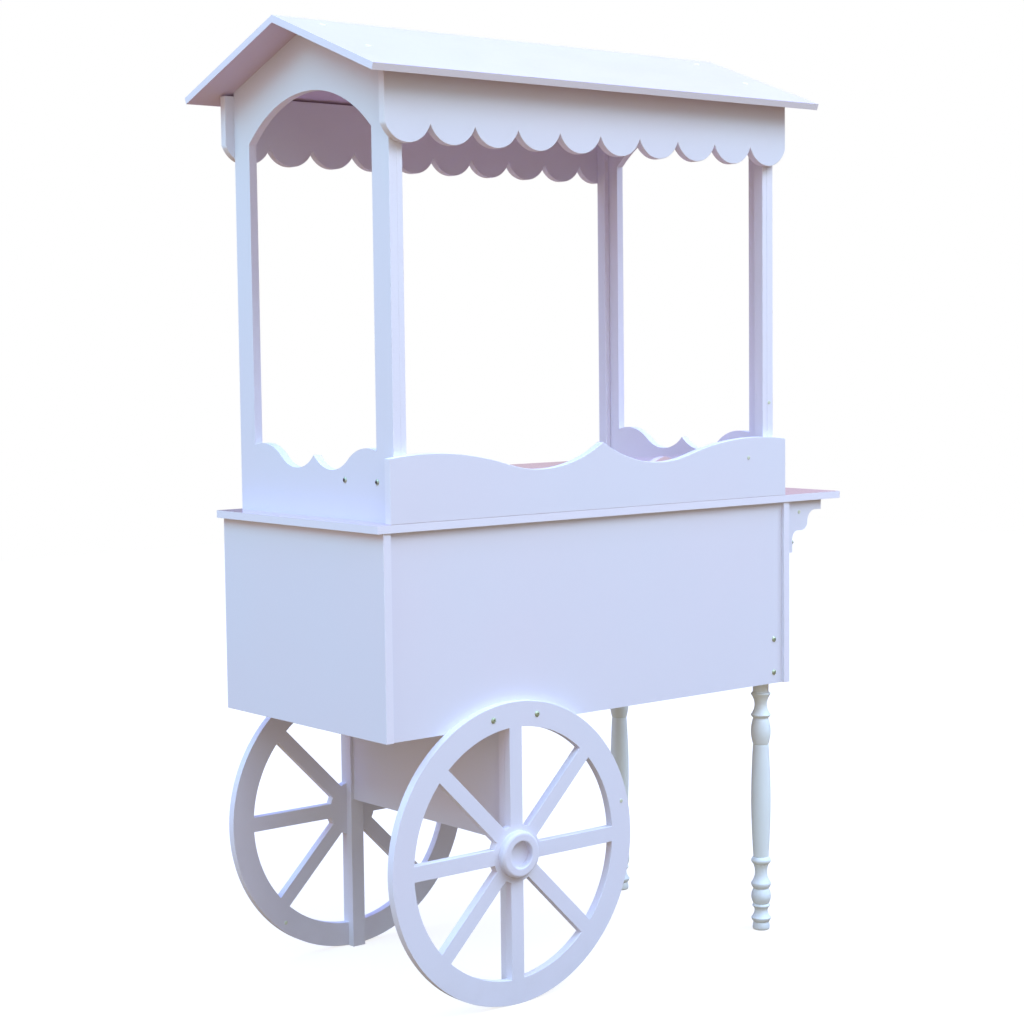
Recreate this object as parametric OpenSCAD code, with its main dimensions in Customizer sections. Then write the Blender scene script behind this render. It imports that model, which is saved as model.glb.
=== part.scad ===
// Candy cart: a painted board cabinet with a counter, a raised ledge, arched end frames and a gable
// roof, on two fixed show wheels and two turned legs.
// X runs along the cart, -Y is its front and Z is up. The floor is at Z = 0, and the origin lies
// under the middle of the whole cart.

/* [Cabinet] */
// Length of the cabinet over its end panels
cabinet_l = 1130; // [1000:10:1300]
// Depth of the cabinet over its end panels
cabinet_d = 580; // [540:5:640]
// Height of the cabinet's panels
cabinet_h = 410; // [340:5:480]
// Thickness of the structural boards
board_t = 18; // [15:1:20]
// How far the front panel and the rear rails sit back from the end panels' edges
panel_recess = 8; // [4:1:12]
// Height of the cabinet floor's underside above the panels' lower edges
floor_raise = 40; // [34:1:60]
// Height of the lower rail at the open back
lower_rail_h = 130; // [125:1:150]
// Height of the upper rail at the open back
upper_rail_h = 60; // [40:1:90]

/* [Counter] */
// Thickness of the counter board under its laminate
counter_t = 15; // [12:1:20]
// Thickness of the laminate sheets
laminate_t = 1; // [0.8:0.1:2]
// Overhang of the counter past the left end panel
counter_over_left = 15; // [5:1:30]
// Overhang of the counter past the right end panel
counter_over_right = 165; // [140:5:220]
// Overhang of the counter past the front and the back of the cabinet
counter_over_side = 3; // [0:1:8]

/* [Counter brackets] */
// Length of a bracket along the counter's underside
bracket_l = 113; // [105:1:135]
// Height of a bracket down the end panel
bracket_h = 117; // [110:1:140]
// Height of a bracket's flat outer end
bracket_lip = 23; // [18:1:30]
// Width of a bracket's lower tail
bracket_tail = 18; // [14:1:22]
// Radius of the bracket's upper hollow
bracket_upper_r = 25; // [20:1:27]
// Radius of the bracket's round nose
bracket_nose_r = 20; // [16:1:22]
// Radius of the bracket's lower hollow
bracket_lower_r = 18; // [14:1:20]
// Length of the flat between the bracket's nose and its lower hollow
bracket_flat = 12; // [6:1:14]
// Distance of a bracket's face cap from the end panel
bracket_cap_in = 40; // [34:1:46]
// Distance of a bracket's face cap below the counter
bracket_cap_drop = 26; // [22:1:34]
// Distance of a bracket's tail screw below the counter
bracket_screw_drop = 94; // [94:1:104]
// Distance of a bracket's tail screw from the bracket's outer face
bracket_screw_in = 6; // [5.5:0.5:10]

/* [End frames] */
// Distance from the cabinet's end to the outer face of the end frame
frame_inset = 38; // [20:1:60]
// Depth of an end frame from front to back
frame_d = 550; // [500:5:570]
// Width of an end frame's posts
post_w = 56; // [48:1:70]
// Height of an end frame's peak above the counter
frame_peak_h = 984; // [900:2:1050]
// Height at which the arch leaves the posts, above the counter
arch_spring_h = 767; // [700:1:780]
// Rise of the arch above its springing
arch_rise = 89; // [60:1:100]
// Height of the low panel's outer crests above the counter
low_crest_h = 144; // [138:1:170]
// Height of the low panel's dips above the counter
low_dip_h = 97; // [94:1:110]
// Height of the low panel's middle point above the counter
low_peak_h = 125; // [118:1:135]
// Distance from the middle to a dip of the low panel
low_dip_at = 63; // [55:1:70]
// Distance from the middle to a crest of the low panel
low_crest_at = 187; // [175:1:200]

/* [Battens and cleats] */
// Thickness of a batten or cleat
batten_t = 14; // [12:1:20]
// Width of a batten or cleat
batten_w = 26; // [20:1:30]
// Gap round a leg head or a batten where a board is notched for it
notch_gap = 0.5; // [0.2:0.1:0.9]
// Distance of the right post's cap above the counter
post_cap_h = 209; // [170:1:260]
// Distance of the post's cap from the right end frame's outer face
post_cap_in = 12; // [7:1:13]

/* [Wavy front board] */
// Length of the wavy board and of the valances past each end frame's outer face
front_board_over = 22; // [10:1:30]
// Height of the wavy board's outer crests above the counter
wavy_crest_h = 134; // [125:1:150]
// Height of the wavy board's dips above the counter
wavy_dip_h = 91; // [86:1:105]
// Height of the wavy board's middle point above the counter
wavy_peak_h = 140; // [132:1:150]
// Distance from the middle to a dip of the wavy board
wavy_dip_at = 165; // [150:1:180]
// Distance from the middle to a crest of the wavy board
wavy_crest_at = 455; // [430:1:480]
// Distance of the wavy board's cap from the board's right end
wavy_cap_in = 118; // [90:1:140]
// Height of the wavy board's cap above the counter
wavy_cap_h = 89; // [70:1:100]

/* [Display ledge] */
// Depth of the ledge behind the wavy board
ledge_d = 220; // [180:5:260]
// Height of the ledge's top above the counter
ledge_h = 87; // [78:1:90]
// Thickness of the ledge board under its laminate
ledge_t = 15; // [15:1:20]

/* [Valances] */
// Height of a valance over its scallops
valance_h = 140.5; // [110:0.5:160]
// Number of scallops along a valance
scallops = 10; // [6:1:14]
// Depth of the scallops
scallop_drop = 38; // [28:1:40]
// Gap between a valance's top and the roof board above it
valance_gap = 0.5; // [0.3:0.1:4]

/* [Roof] */
// Pitch of the roof in degrees
roof_pitch = 20.9; // [18:0.1:24]
// Thickness of the roof boards
roof_t = 14; // [10:1:16]
// Horizontal reach of a roof board from the ridge to its eave
roof_reach = 340; // [320:2:380]
// Overhang of the roof past the end frames
roof_over = 80; // [60:2:110]

/* [Wheels] */
// Angle between a rim bolt and the wheel's vertical spoke
rim_bolt_angle = 11.5; // [9:0.1:13]
// Outer radius of a wheel
wheel_r = 312.5; // [280:0.5:340]
// Radial width of a wheel's rim
rim_w = 52; // [40:1:60]
// Number of spokes
spokes = 8; // [6:2:10]
// Width of a spoke
spoke_w = 32; // [26:1:40]
// Radius of the wheel's middle disc
disc_r = 60; // [56:1:75]
// Distance from the cabinet's left end to the wheel's centre
wheel_at = 315; // [300:1:400]
// How far a wheel's top laps over the cabinet's panel
wheel_lap = 49.5; // [42:0.5:60]
// Outer radius of a hub ring
hub_r = 48; // [40:1:54]
// Radius of a hub ring's opening
hub_bore_r = 28; // [20:1:34]
// Thickness of a hub ring
hub_t = 16; // [10:1:20]
// Rounding of a hub ring's outer edge
hub_round = 7; // [2:0.5:9]
// Distance of a rim's cap from the rim's outer edge
rim_cap_in = 18; // [10:1:26]

/* [Undercarriage] */
// Width of a wheel post
wheel_post_w = 32; // [24:1:40]
// How far the cross panel hangs below the cabinet
cross_panel_h = 240; // [180:5:300]

/* [Turned legs] */
// Side of a leg's square head
leg_head = 48; // [46:1:60]
// Height of a leg's square head inside the cabinet
leg_head_h = 125; // [120:1:140]
// Gap between a leg's head and the right end panel
leg_gap = 0.5; // [0.3:0.1:0.9]
// Radius of the leg's neck and of its shaft's ends
leg_neck_r = 18; // [17:0.5:20]
// Radius of the leg's rings and of its barrel, ball and shaft where they are widest
leg_ring_r = 22.5; // [21.5:0.5:23.5]
// Radius of the leg's waists
leg_waist_r = 14; // [13:0.5:16]

/* [Fasteners] */
// Radius of the bolts' shanks
bolt_r = 3; // [2.5:0.1:3.5]
// Radius of the bolts' domed heads
bolt_head_r = 6.5; // [5.5:0.1:7]
// Height of the bolts' domed heads
bolt_head_h = 4; // [3:0.1:5]
// Radius of the nuts
nut_r = 6; // [5.5:0.1:6.5]
// Height of the nuts
nut_h = 5; // [4:0.1:6]
// Radius of the wood screws
screw_r = 2; // [1.5:0.1:2.5]
// Radius of the wood screws' heads
screw_head_r = 4.5; // [4:0.1:5]
// Height of the wood screws' heads
screw_head_h = 3; // [2:0.1:4]
// Height of a bracket screw's cylindrical head
cap_head_h = 6; // [3:0.1:6.5]
// Radius of the caps over the screw heads
cap_r = 4; // [3:0.1:5]
// Thickness of the caps over the screw heads
cap_t = 1.2; // [0.8:0.1:2]
// Radius of the plugs in the roof
plug_r = 6; // [5:0.1:8]
// Gap round a shank in its hole
fit_gap = 0.2; // [0.1:0.05:0.3]

/* [Hidden] */
$fn = 96;

// Colours as the photograph shows them
paint = [0.82, 0.84, 0.93];
roof_paint = [0.92, 0.95, 1.0];
leg_paint = [0.84, 0.88, 0.90];
pink = [0.88, 0.76, 0.82];
steel = [0.62, 0.66, 0.64];
cap_colour = [0.86, 0.88, 0.76];

// How far a cut runs past a face, and how far two touching arcs are let into each other
cut = 1;
hair = 0.01;

// Heights above the floor
cabinet_z = 2 * wheel_r - wheel_lap;
counter_z = cabinet_z + cabinet_h;
laminate_z = counter_z + counter_t;
top_z = laminate_z + laminate_t;
floor_z = cabinet_z + floor_raise;

// Places along the cart: the origin is midway between the roof's left end and the counter's right end
left_reach = max(roof_over - frame_inset, counter_over_left);
right_reach = cabinet_l + max(counter_over_right, roof_over - frame_inset);
cab_x0 = (left_reach - right_reach) / 2;
cab_x1 = cab_x0 + cabinet_l;
frame_x0 = cab_x0 + frame_inset;
frame_x1 = cab_x1 - frame_inset;
frame_mid_x = (frame_x0 + frame_x1) / 2;
wheel_x = cab_x0 + wheel_at;
leg_x = cab_x1 - board_t - leg_gap - leg_head / 2;

// Places across the cart, measured towards the back; the front is their mirror image
panel_face = cabinet_d / 2 - panel_recess;
panel_back = panel_face - board_t;
leg_y = panel_back - leg_head / 2;
frame_edge = frame_d / 2;
board_face = frame_edge + board_t;

// Roof
pitch_tan = tan(roof_pitch);
peak_z = top_z + frame_peak_h;
ridge_z = peak_z + roof_t / cos(roof_pitch);
eave_z = ridge_z - roof_reach * pitch_tan;
function underside(y) = peak_z - abs(y) * pitch_tan;
valance_top = underside(board_face) - valance_gap;

// Long boards that run past the end frames
long_board_l = frame_x1 - frame_x0 + 2 * front_board_over;
scallop_pitch = long_board_l / scallops;

// Ledge
ledge_top = top_z + ledge_h;
ledge_under = ledge_top - laminate_t - ledge_t;
ledge_mid = ledge_under + ledge_t / 2;
ledge_y0 = -frame_edge;

// Places of the fasteners
rim_bolt_r = wheel_r - rim_w / 2;
rim_cap_r = wheel_r - rim_cap_in;
leg_bolt_up = [25, 100];
ledge_bolt_y = [for (share = [0.25, 0.75]) ledge_y0 + share * ledge_d];
ledge_bolt_l = 45;
barrel_r = 5;
barrel_h = 11;
barrel_in = 30;
frame_screw_y = [for (side = [-1, 1], share = [0.35, 0.8]) side * share * frame_edge];
frame_screw_l = 50;
post_screw_drop = [50, cross_panel_h - 50];
post_screw_l = 50;
bracket_screw_l = bracket_tail + board_t - 4;
roof_screw_at = [50, 215];
roof_screw_l = 45;
cleat_end = 4;
rim_cap_angle = 13.2;
inner_cap_angle = 231.5;
hub_cuts = 6;

// Shaping

// Board standing across the cart: x is its left face, the outline is drawn in Y and Z
module board_yz(x, t) {
    translate([x, 0, 0]) rotate([90, 0, 90]) linear_extrude(t) children();
}

// Board standing along the cart: y is its front face, the outline is drawn in X and Z
module board_xz(y, t) {
    translate([0, y + t, 0]) rotate([90, 0, 0]) linear_extrude(t) children();
}

// Box between two opposite corners
module block(low, high) {
    translate(low) cube(high - low);
}

// Shows its children mirrored from the front half to the back half
module at_back() {
    mirror([0, 1, 0]) children();
}

// Area under a wave with a middle point, two dips and two crests, all of true arcs. The crest's
// circle laps the dip's by a hair, so that the two arcs cross where they would otherwise just touch
module wave(half_l, dip_at, dip_h, crest_at, crest_h, peak_h) {
    rise = peak_h - dip_h;
    dip_r = (dip_at * dip_at + rise * rise) / (2 * rise);
    dip_c = dip_h + dip_r;
    run = crest_at - dip_at;
    climb = dip_c - crest_h;
    crest_r = (run * run + climb * climb - dip_r * dip_r) / (2 * (dip_r - climb));
    meet = dip_at + run * dip_r / (dip_r + crest_r);
    lap_from = meet - 5 * cut;
    for (side = [0, 1]) mirror([side, 0]) {
        square([half_l, dip_h / 2]);
        difference() {
            square([meet, peak_h + cut]);
            translate([dip_at, dip_c]) circle(dip_r, $fn = 180);
        }
        intersection() {
            translate([lap_from, 0]) square([half_l - lap_from, crest_h + cut]);
            translate([crest_at, crest_h - crest_r]) circle(crest_r + hair, $fn = 180);
        }
    }
}

// Domed head on the origin, bulging towards -Z
module dome(r, h) {
    ball_r = (r * r + h * h) / (2 * h);
    intersection() {
        translate([0, 0, ball_r - h]) sphere(ball_r, $fn = 64);
        translate([0, 0, -h]) cylinder(h = h, r = r, $fn = 48);
    }
}

// Domed bolt with a hexagon socket, its head's seat at the origin and its shank along +Z
module bolt(shank_l) {
    cylinder(h = shank_l, r = bolt_r, $fn = 32);
    difference() {
        dome(bolt_head_r, bolt_head_h);
        translate([0, 0, -bolt_head_h - cut])
            cylinder(h = bolt_head_h / 2 + cut, r = 0.9 * bolt_r, $fn = 6);
    }
}

// Round hole for a bolt's shank, from a face at the origin through to a depth
module bolt_hole(depth) {
    translate([0, 0, -cut]) cylinder(h = depth + 2 * cut, r = bolt_r + fit_gap, $fn = 32);
}

// Hexagon nut with a bore for a bolt, standing on the origin
module nut() {
    difference() {
        cylinder(h = nut_h, r = nut_r, $fn = 6);
        bolt_hole(nut_h);
    }
}

// Wood screw with a flat head, its head's face at the origin and its shank along +Z
module wood_screw(l) {
    cylinder(h = l, r = screw_r, $fn = 24);
    cylinder(h = screw_head_h, r1 = screw_head_r, r2 = screw_r, $fn = 24);
}

// Hole for a screw's shank, from a face at the origin to a depth
module shank_hole(depth) {
    translate([0, 0, -cut]) cylinder(h = depth + 2 * cut, r = screw_r + fit_gap, $fn = 24);
}

// Hole for a wood screw with its flat head let in
module screw_hole(depth) {
    shank_hole(depth);
    translate([0, 0, -cut]) cylinder(h = cut + screw_head_h, r = screw_head_r + fit_gap, $fn = 24);
}

// Places of the fasteners

// Both bolts of one wheel, on the front wheel's face, pointing backwards
module at_wheel_bolts() {
    for (side = [-1, 1])
        translate([
            wheel_x + side * rim_bolt_r * sin(rim_bolt_angle),
            -panel_face,
            wheel_r + rim_bolt_r * cos(rim_bolt_angle)
        ]) rotate([-90, 0, 0]) children();
}

// Both bolts of the front leg, on the front panel's face, pointing backwards
module at_leg_bolts() {
    for (up = leg_bolt_up)
        translate([leg_x, -panel_face, cabinet_z + up]) rotate([-90, 0, 0]) children();
}

// Both ledge bolts of each end frame, on its outer face, pointing inwards
module at_ledge_bolts() {
    for (y = ledge_bolt_y) {
        translate([frame_x0, y, ledge_mid]) rotate([0, 90, 0]) children();
        translate([frame_x1, y, ledge_mid]) rotate([0, -90, 0]) children();
    }
}

// Barrel nuts of the ledge bolts, upright in the ledge board
module at_barrel_nuts() {
    for (x = [frame_x0 + board_t + barrel_in, frame_x1 - board_t - barrel_in], y = ledge_bolt_y)
        translate([x, y, ledge_mid]) children();
}

// Screws that hold the end frames down, from the counter's underside, pointing up
module at_frame_screws() {
    for (x = [frame_x0 + board_t / 2, frame_x1 - board_t / 2], y = frame_screw_y)
        translate([x, y, counter_z]) children();
}

// Screws through the front wheel post into the cross panel, pointing backwards
module at_post_screws() {
    for (drop = post_screw_drop)
        translate([wheel_x, -panel_face, cabinet_z - drop]) rotate([-90, 0, 0]) children();
}

// Screw through the front bracket's tail into the end panel, pointing to the left
module at_bracket_screw() {
    translate([cab_x1 + bracket_tail, -panel_face + bracket_screw_in, counter_z - bracket_screw_drop])
        rotate([0, -90, 0]) children();
}

// Screws through the front roof board into the end frames, square to the roof and pointing down
module at_roof_screws() {
    for (x = [frame_x0 + board_t / 2, frame_x1 - board_t / 2], s = roof_screw_at)
        translate([x, -s * cos(roof_pitch), ridge_z - s * sin(roof_pitch)])
            rotate([180 + roof_pitch, 0, 0]) children();
}

// Shows its children as they are and mirrored to the back
module both_sides() {
    for (side = [0, 1]) mirror([0, side, 0]) children();
}

// Cabinet

module end_panel(x) {
    block([x, -cabinet_d / 2, cabinet_z], [x + board_t, cabinet_d / 2, counter_z]);
}

module cabinet_left_end() {
    color(paint) end_panel(cab_x0);
}

module cabinet_right_end() {
    color(paint) difference() {
        end_panel(cab_x1 - board_t);
        both_sides() at_bracket_screw() shank_hole(bracket_screw_l);
    }
}

// Upright board between the end panels, from one height to another, at the front
module front_board(low, high) {
    block(
        [cab_x0 + board_t, -panel_face, low],
        [cab_x1 - board_t, -panel_back, high]
    );
}

module cabinet_front_panel() {
    color(paint) difference() {
        front_board(cabinet_z, counter_z);
        at_wheel_bolts() bolt_hole(board_t);
        at_leg_bolts() bolt_hole(board_t);
    }
}

module rear_lower_rail() {
    color(paint) at_back() difference() {
        front_board(cabinet_z, cabinet_z + lower_rail_h);
        at_wheel_bolts() bolt_hole(board_t);
        at_leg_bolts() bolt_hole(board_t);
    }
}

module rear_upper_rail() {
    color(paint) at_back() front_board(counter_z - upper_rail_h, counter_z);
}

module cabinet_floor() {
    notch = leg_head / 2 + notch_gap;
    color(paint) difference() {
        block(
            [cab_x0 + board_t, -panel_back, floor_z],
            [cab_x1 - board_t, panel_back, floor_z + board_t]
        );
        both_sides() block(
            [leg_x - notch, leg_y - notch, floor_z - cut],
            [cab_x1, panel_back + cut, floor_z + board_t + cut]
        );
    }
}

module floor_cleats() {
    color(paint) {
        block(
            [cab_x0 + board_t, -panel_back + cleat_end, floor_z - batten_w],
            [cab_x0 + board_t + batten_t, panel_back - cleat_end, floor_z]
        );
        block(
            [cab_x1 - board_t - batten_t, -panel_back + leg_head + cleat_end, floor_z - batten_w],
            [cab_x1 - board_t, panel_back - leg_head - cleat_end, floor_z]
        );
    }
}

// Upright cleat in a front corner of the cabinet, up to the counter's cleat
module corner_cleat(x, low) {
    block([x, -panel_back, low], [x + batten_t, -panel_back + batten_w, counter_z - batten_w]);
}

module corner_cleats() {
    color(paint) both_sides() {
        corner_cleat(cab_x0 + board_t, floor_z + board_t);
        corner_cleat(cab_x1 - board_t - batten_t, cabinet_z + leg_head_h);
    }
}

module counter_cleats() {
    color(paint) for (x = [cab_x0 + board_t, cab_x1 - board_t - batten_t])
        block(
            [x, -panel_back + cleat_end, counter_z - batten_w],
            [x + batten_t, panel_back - cleat_end, counter_z]
        );
}

module counter_sheet(low, high) {
    reach = cabinet_d / 2 + counter_over_side;
    block([cab_x0 - counter_over_left, -reach, low], [cab_x1 + counter_over_right, reach, high]);
}

module counter_board() {
    color(paint) difference() {
        counter_sheet(counter_z, laminate_z);
        at_frame_screws() screw_hole(frame_screw_l);
    }
}

module counter_laminate() {
    color(pink) difference() {
        counter_sheet(laminate_z, top_z);
        at_frame_screws() shank_hole(frame_screw_l);
    }
}

// Outline of a bracket, from its upper inner corner, with its hollows and nose as true arcs
module bracket_outline() {
    hollow_x = bracket_tail + bracket_lower_r;
    nose_x = hollow_x + bracket_flat;
    step_x = nose_x + bracket_nose_r;
    nose_z = bracket_lip + bracket_upper_r;
    tail_z = nose_z + bracket_nose_r + bracket_lower_r;
    mirror([0, 1]) {
        square([bracket_l, bracket_lip]);
        square([nose_x, nose_z + bracket_nose_r]);
        square([bracket_tail, bracket_h]);
        translate([nose_x, nose_z]) circle(bracket_nose_r);
        difference() {
            square([step_x + bracket_upper_r, nose_z]);
            translate([step_x + bracket_upper_r, nose_z]) circle(bracket_upper_r);
        }
        difference() {
            square([hollow_x, tail_z]);
            translate([hollow_x, tail_z]) circle(bracket_lower_r);
        }
    }
}

module front_bracket() {
    color(paint) difference() {
        board_xz(-panel_face, board_t) translate([cab_x1, counter_z]) bracket_outline();
        at_bracket_screw() shank_hole(bracket_screw_l);
    }
}

module rear_bracket() {
    at_back() front_bracket();
}

// Serving top

// Outline of an end frame in Y and Z, above the counter
module end_frame_outline() {
    half_gap = frame_edge - post_w;
    arch_r = (half_gap * half_gap + arch_rise * arch_rise) / (2 * arch_rise);
    eave_h = frame_peak_h - frame_edge * pitch_tan;
    difference() {
        polygon([
            [-frame_edge, 0], [frame_edge, 0], [frame_edge, eave_h],
            [0, frame_peak_h], [-frame_edge, eave_h]
        ]);
        difference() {
            union() {
                translate([-half_gap, 0]) square([2 * half_gap, arch_spring_h]);
                intersection() {
                    translate([-half_gap, arch_spring_h - cut]) square([2 * half_gap, arch_rise + 2 * cut]);
                    translate([0, arch_spring_h + arch_rise - arch_r]) circle(arch_r, $fn = 180);
                }
            }
            wave(half_gap + cut, low_dip_at, low_dip_h, low_crest_at, low_crest_h, low_peak_h);
        }
    }
}

module end_frame(x) {
    color(paint) difference() {
        board_yz(x, board_t) translate([0, top_z]) end_frame_outline();
        at_ledge_bolts() bolt_hole(board_t);
        at_frame_screws() shank_hole(frame_screw_l);
        both_sides() at_roof_screws() shank_hole(roof_screw_l);
    }
}

module left_end_frame() {
    end_frame(frame_x0);
}

module right_end_frame() {
    end_frame(frame_x1 - board_t);
}

// Corner batten at the front of an end frame
module batten(x) {
    color(paint) block([x, -frame_edge, top_z], [x + batten_t, -frame_edge + batten_w, valance_top]);
}

module batten_left_front() {
    batten(frame_x0 + board_t);
}

module batten_left_rear() {
    at_back() batten(frame_x0 + board_t);
}

module batten_right_front() {
    batten(frame_x1 - board_t - batten_t);
}

module batten_right_rear() {
    at_back() batten(frame_x1 - board_t - batten_t);
}

module wavy_front_board() {
    color(paint) board_xz(-board_face, board_t) translate([frame_mid_x, top_z])
        wave(long_board_l / 2, wavy_dip_at, wavy_dip_h, wavy_crest_at, wavy_crest_h, wavy_peak_h);
}

// Sheet between the end frames, behind the wavy board and cut round the front battens
module ledge_sheet(low, high) {
    difference() {
        block(
            [frame_x0 + board_t, ledge_y0, low],
            [frame_x1 - board_t, ledge_y0 + ledge_d, high]
        );
        for (x = [frame_x0 + board_t - cut, frame_x1 - board_t - batten_t - notch_gap])
            block(
                [x, ledge_y0 - cut, low - cut],
                [x + batten_t + notch_gap + cut, ledge_y0 + batten_w + notch_gap, high + cut]
            );
    }
}

module ledge_board() {
    color(paint) difference() {
        ledge_sheet(ledge_under, ledge_top - laminate_t);
        at_ledge_bolts() bolt_hole(board_t + ledge_bolt_l);
        at_barrel_nuts() translate([0, 0, -ledge_t / 2 - cut])
            cylinder(h = (ledge_t + barrel_h) / 2 + cut + fit_gap, r = barrel_r + fit_gap, $fn = 32);
    }
}

module ledge_laminate() {
    color(pink) ledge_sheet(ledge_top - laminate_t, ledge_top);
}

// Canopy

// Outline of a valance in X and Z, from its lower left corner: a row of circles that cross at the
// points between the scallops, under a plain strip
module valance_outline() {
    half = scallop_pitch / 2;
    scallop_r = (half * half + scallop_drop * scallop_drop) / (2 * scallop_drop);
    intersection() {
        square([long_board_l, valance_h]);
        union() {
            translate([-cut, scallop_r]) square([long_board_l + 2 * cut, valance_h]);
            for (i = [0 : scallops - 1])
                translate([half + i * scallop_pitch, scallop_r]) circle(scallop_r);
        }
    }
}

module front_valance() {
    color(paint) board_xz(-board_face, board_t)
        translate([frame_mid_x - long_board_l / 2, valance_top - valance_h]) valance_outline();
}

module rear_valance() {
    at_back() front_valance();
}

module roof_front_board() {
    lean_y = roof_t * sin(roof_pitch);
    lean_z = roof_t * cos(roof_pitch);
    color(roof_paint) difference() {
        board_yz(frame_x0 - roof_over, frame_x1 - frame_x0 + 2 * roof_over) polygon([
            [0, ridge_z], [-roof_reach, eave_z],
            [-roof_reach + lean_y, eave_z - lean_z], [0, peak_z]
        ]);
        at_roof_screws() screw_hole(roof_screw_l);
    }
}

module roof_rear_board() {
    at_back() roof_front_board();
}

// Running gear

// Outline of a wheel round its centre
module wheel_outline() {
    difference() {
        circle(wheel_r, $fn = 180);
        circle(wheel_r - rim_w, $fn = 180);
    }
    circle(disc_r);
    for (i = [0 : spokes / 2 - 1]) rotate(i * 360 / spokes)
        square([2 * wheel_r - rim_w, spoke_w], center = true);
}

module front_wheel() {
    color(paint) difference() {
        board_xz(-panel_face - board_t, board_t) translate([wheel_x, wheel_r]) wheel_outline();
        at_wheel_bolts() translate([0, 0, -board_t]) bolt_hole(board_t);
    }
}

module rear_wheel() {
    at_back() front_wheel();
}

// Section of a hub ring: its radius across, its height over the disc upwards
module hub_section() {
    middle = [hub_r - hub_round, hub_t - hub_round];
    polygon(concat(
        [[hub_bore_r, hub_t], [hub_bore_r, 0], [hub_r, 0]],
        [for (k = [0 : hub_cuts]) middle + hub_round * [cos(90 * k / hub_cuts), sin(90 * k / hub_cuts)]]
    ));
}

module front_hub_ring() {
    color(paint) translate([wheel_x, -panel_face - board_t, wheel_r]) rotate([90, 0, 0])
        rotate_extrude() hub_section();
}

module rear_hub_ring() {
    at_back() front_hub_ring();
}

module front_wheel_post() {
    color(paint) difference() {
        block(
            [wheel_x - wheel_post_w / 2, -panel_face, 0],
            [wheel_x + wheel_post_w / 2, -panel_back, cabinet_z]
        );
        at_post_screws() screw_hole(post_screw_l);
    }
}

module rear_wheel_post() {
    at_back() front_wheel_post();
}

module cross_panel() {
    color(paint) difference() {
        block(
            [wheel_x - board_t / 2, -panel_back, cabinet_z - cross_panel_h],
            [wheel_x + board_t / 2, panel_back, floor_z]
        );
        both_sides() at_post_screws() shank_hole(post_screw_l);
    }
}

// Turned profile from the cabinet's underside down to the floor: each step gives its height, the
// radius at its lower end and how far it swells, or hollows, between its ends
groove_r = leg_neck_r - 0.5;
leg_top_steps = [
    [24, leg_neck_r, 0], [5, leg_ring_r, 0.6], [23, leg_waist_r, -1.8], [25, leg_ring_r, -2.4],
    [7, groove_r, 0.9], [62, groove_r, leg_ring_r - groove_r], [1, leg_neck_r, 0]
];
leg_low_steps = [
    [18, groove_r, leg_ring_r - groove_r], [18, leg_waist_r, -1], [25, leg_ring_r, -2.4],
    [13, groove_r, 1.8], [36, groove_r, leg_ring_r - groove_r],
    [8, groove_r, 2.6], [7, leg_waist_r + 1, -0.6], [17, leg_ring_r, -1.8],
    [10, groove_r, 1], [18, leg_neck_r + 1, 1.2]
];
function total(steps, i = 0) = i == len(steps) ? 0 : steps[i][0] + total(steps, i + 1);
leg_shaft_l = cabinet_z - total(leg_top_steps) - total(leg_low_steps);
leg_steps = concat(
    leg_top_steps, [[leg_shaft_l, groove_r, leg_ring_r - groove_r - 0.5]], leg_low_steps
);
turn_cuts = 10;
function leg_points(i, z, r) = i == len(leg_steps) ? [] : concat(
    let (drop = leg_steps[i][0], end_r = leg_steps[i][1], swell = leg_steps[i][2])
    let (cuts = swell == 0 ? 1 : turn_cuts)
    [for (k = [1 : cuts]) let (t = k / cuts) [r + (end_r - r) * t + swell * sin(180 * t), z - drop * t]],
    leg_points(i + 1, z - leg_steps[i][0], leg_steps[i][1])
);

module front_leg() {
    axis_and_top = [[0, 0], [0, cabinet_z], [leg_neck_r, cabinet_z]];
    color(leg_paint) difference() {
        translate([leg_x, -leg_y, 0]) {
            translate([0, 0, cabinet_z + leg_head_h / 2])
                cube([leg_head, leg_head, leg_head_h], center = true);
            rotate_extrude() polygon(concat(axis_and_top, leg_points(0, cabinet_z, leg_neck_r)));
        }
        at_leg_bolts() bolt_hole(board_t + leg_head);
    }
}

module rear_leg() {
    at_back() front_leg();
}

// Fasteners

module front_wheel_bolts() {
    color(steel) at_wheel_bolts() translate([0, 0, -board_t]) bolt(2 * board_t + nut_h);
}

module rear_wheel_bolts() {
    at_back() front_wheel_bolts();
}

module wheel_bolt_nuts() {
    color(steel) both_sides() at_wheel_bolts() translate([0, 0, board_t]) nut();
}

module front_leg_bolts() {
    color(steel) at_leg_bolts() bolt(board_t + leg_head + nut_h);
}

module rear_leg_bolts() {
    at_back() front_leg_bolts();
}

module leg_bolt_nuts() {
    color(steel) both_sides() at_leg_bolts() translate([0, 0, board_t + leg_head]) nut();
}

module ledge_bolts() {
    color(steel) at_ledge_bolts() bolt(board_t + ledge_bolt_l);
}

module ledge_barrel_nuts() {
    color(steel) difference() {
        at_barrel_nuts() cylinder(h = barrel_h, r = barrel_r, center = true, $fn = 32);
        at_ledge_bolts() bolt_hole(board_t + ledge_bolt_l);
    }
}

module frame_screws() {
    color(steel) at_frame_screws() wood_screw(frame_screw_l);
}

module post_screws() {
    color(steel) both_sides() at_post_screws() wood_screw(post_screw_l);
}

module bracket_screws() {
    color(steel) both_sides() at_bracket_screw() {
        translate([0, 0, -cap_head_h]) cylinder(h = cap_head_h, r = screw_head_r, $fn = 32);
        cylinder(h = bracket_screw_l, r = screw_r, $fn = 24);
    }
}

module roof_screws() {
    color(steel) both_sides() at_roof_screws() wood_screw(roof_screw_l);
}

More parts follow.
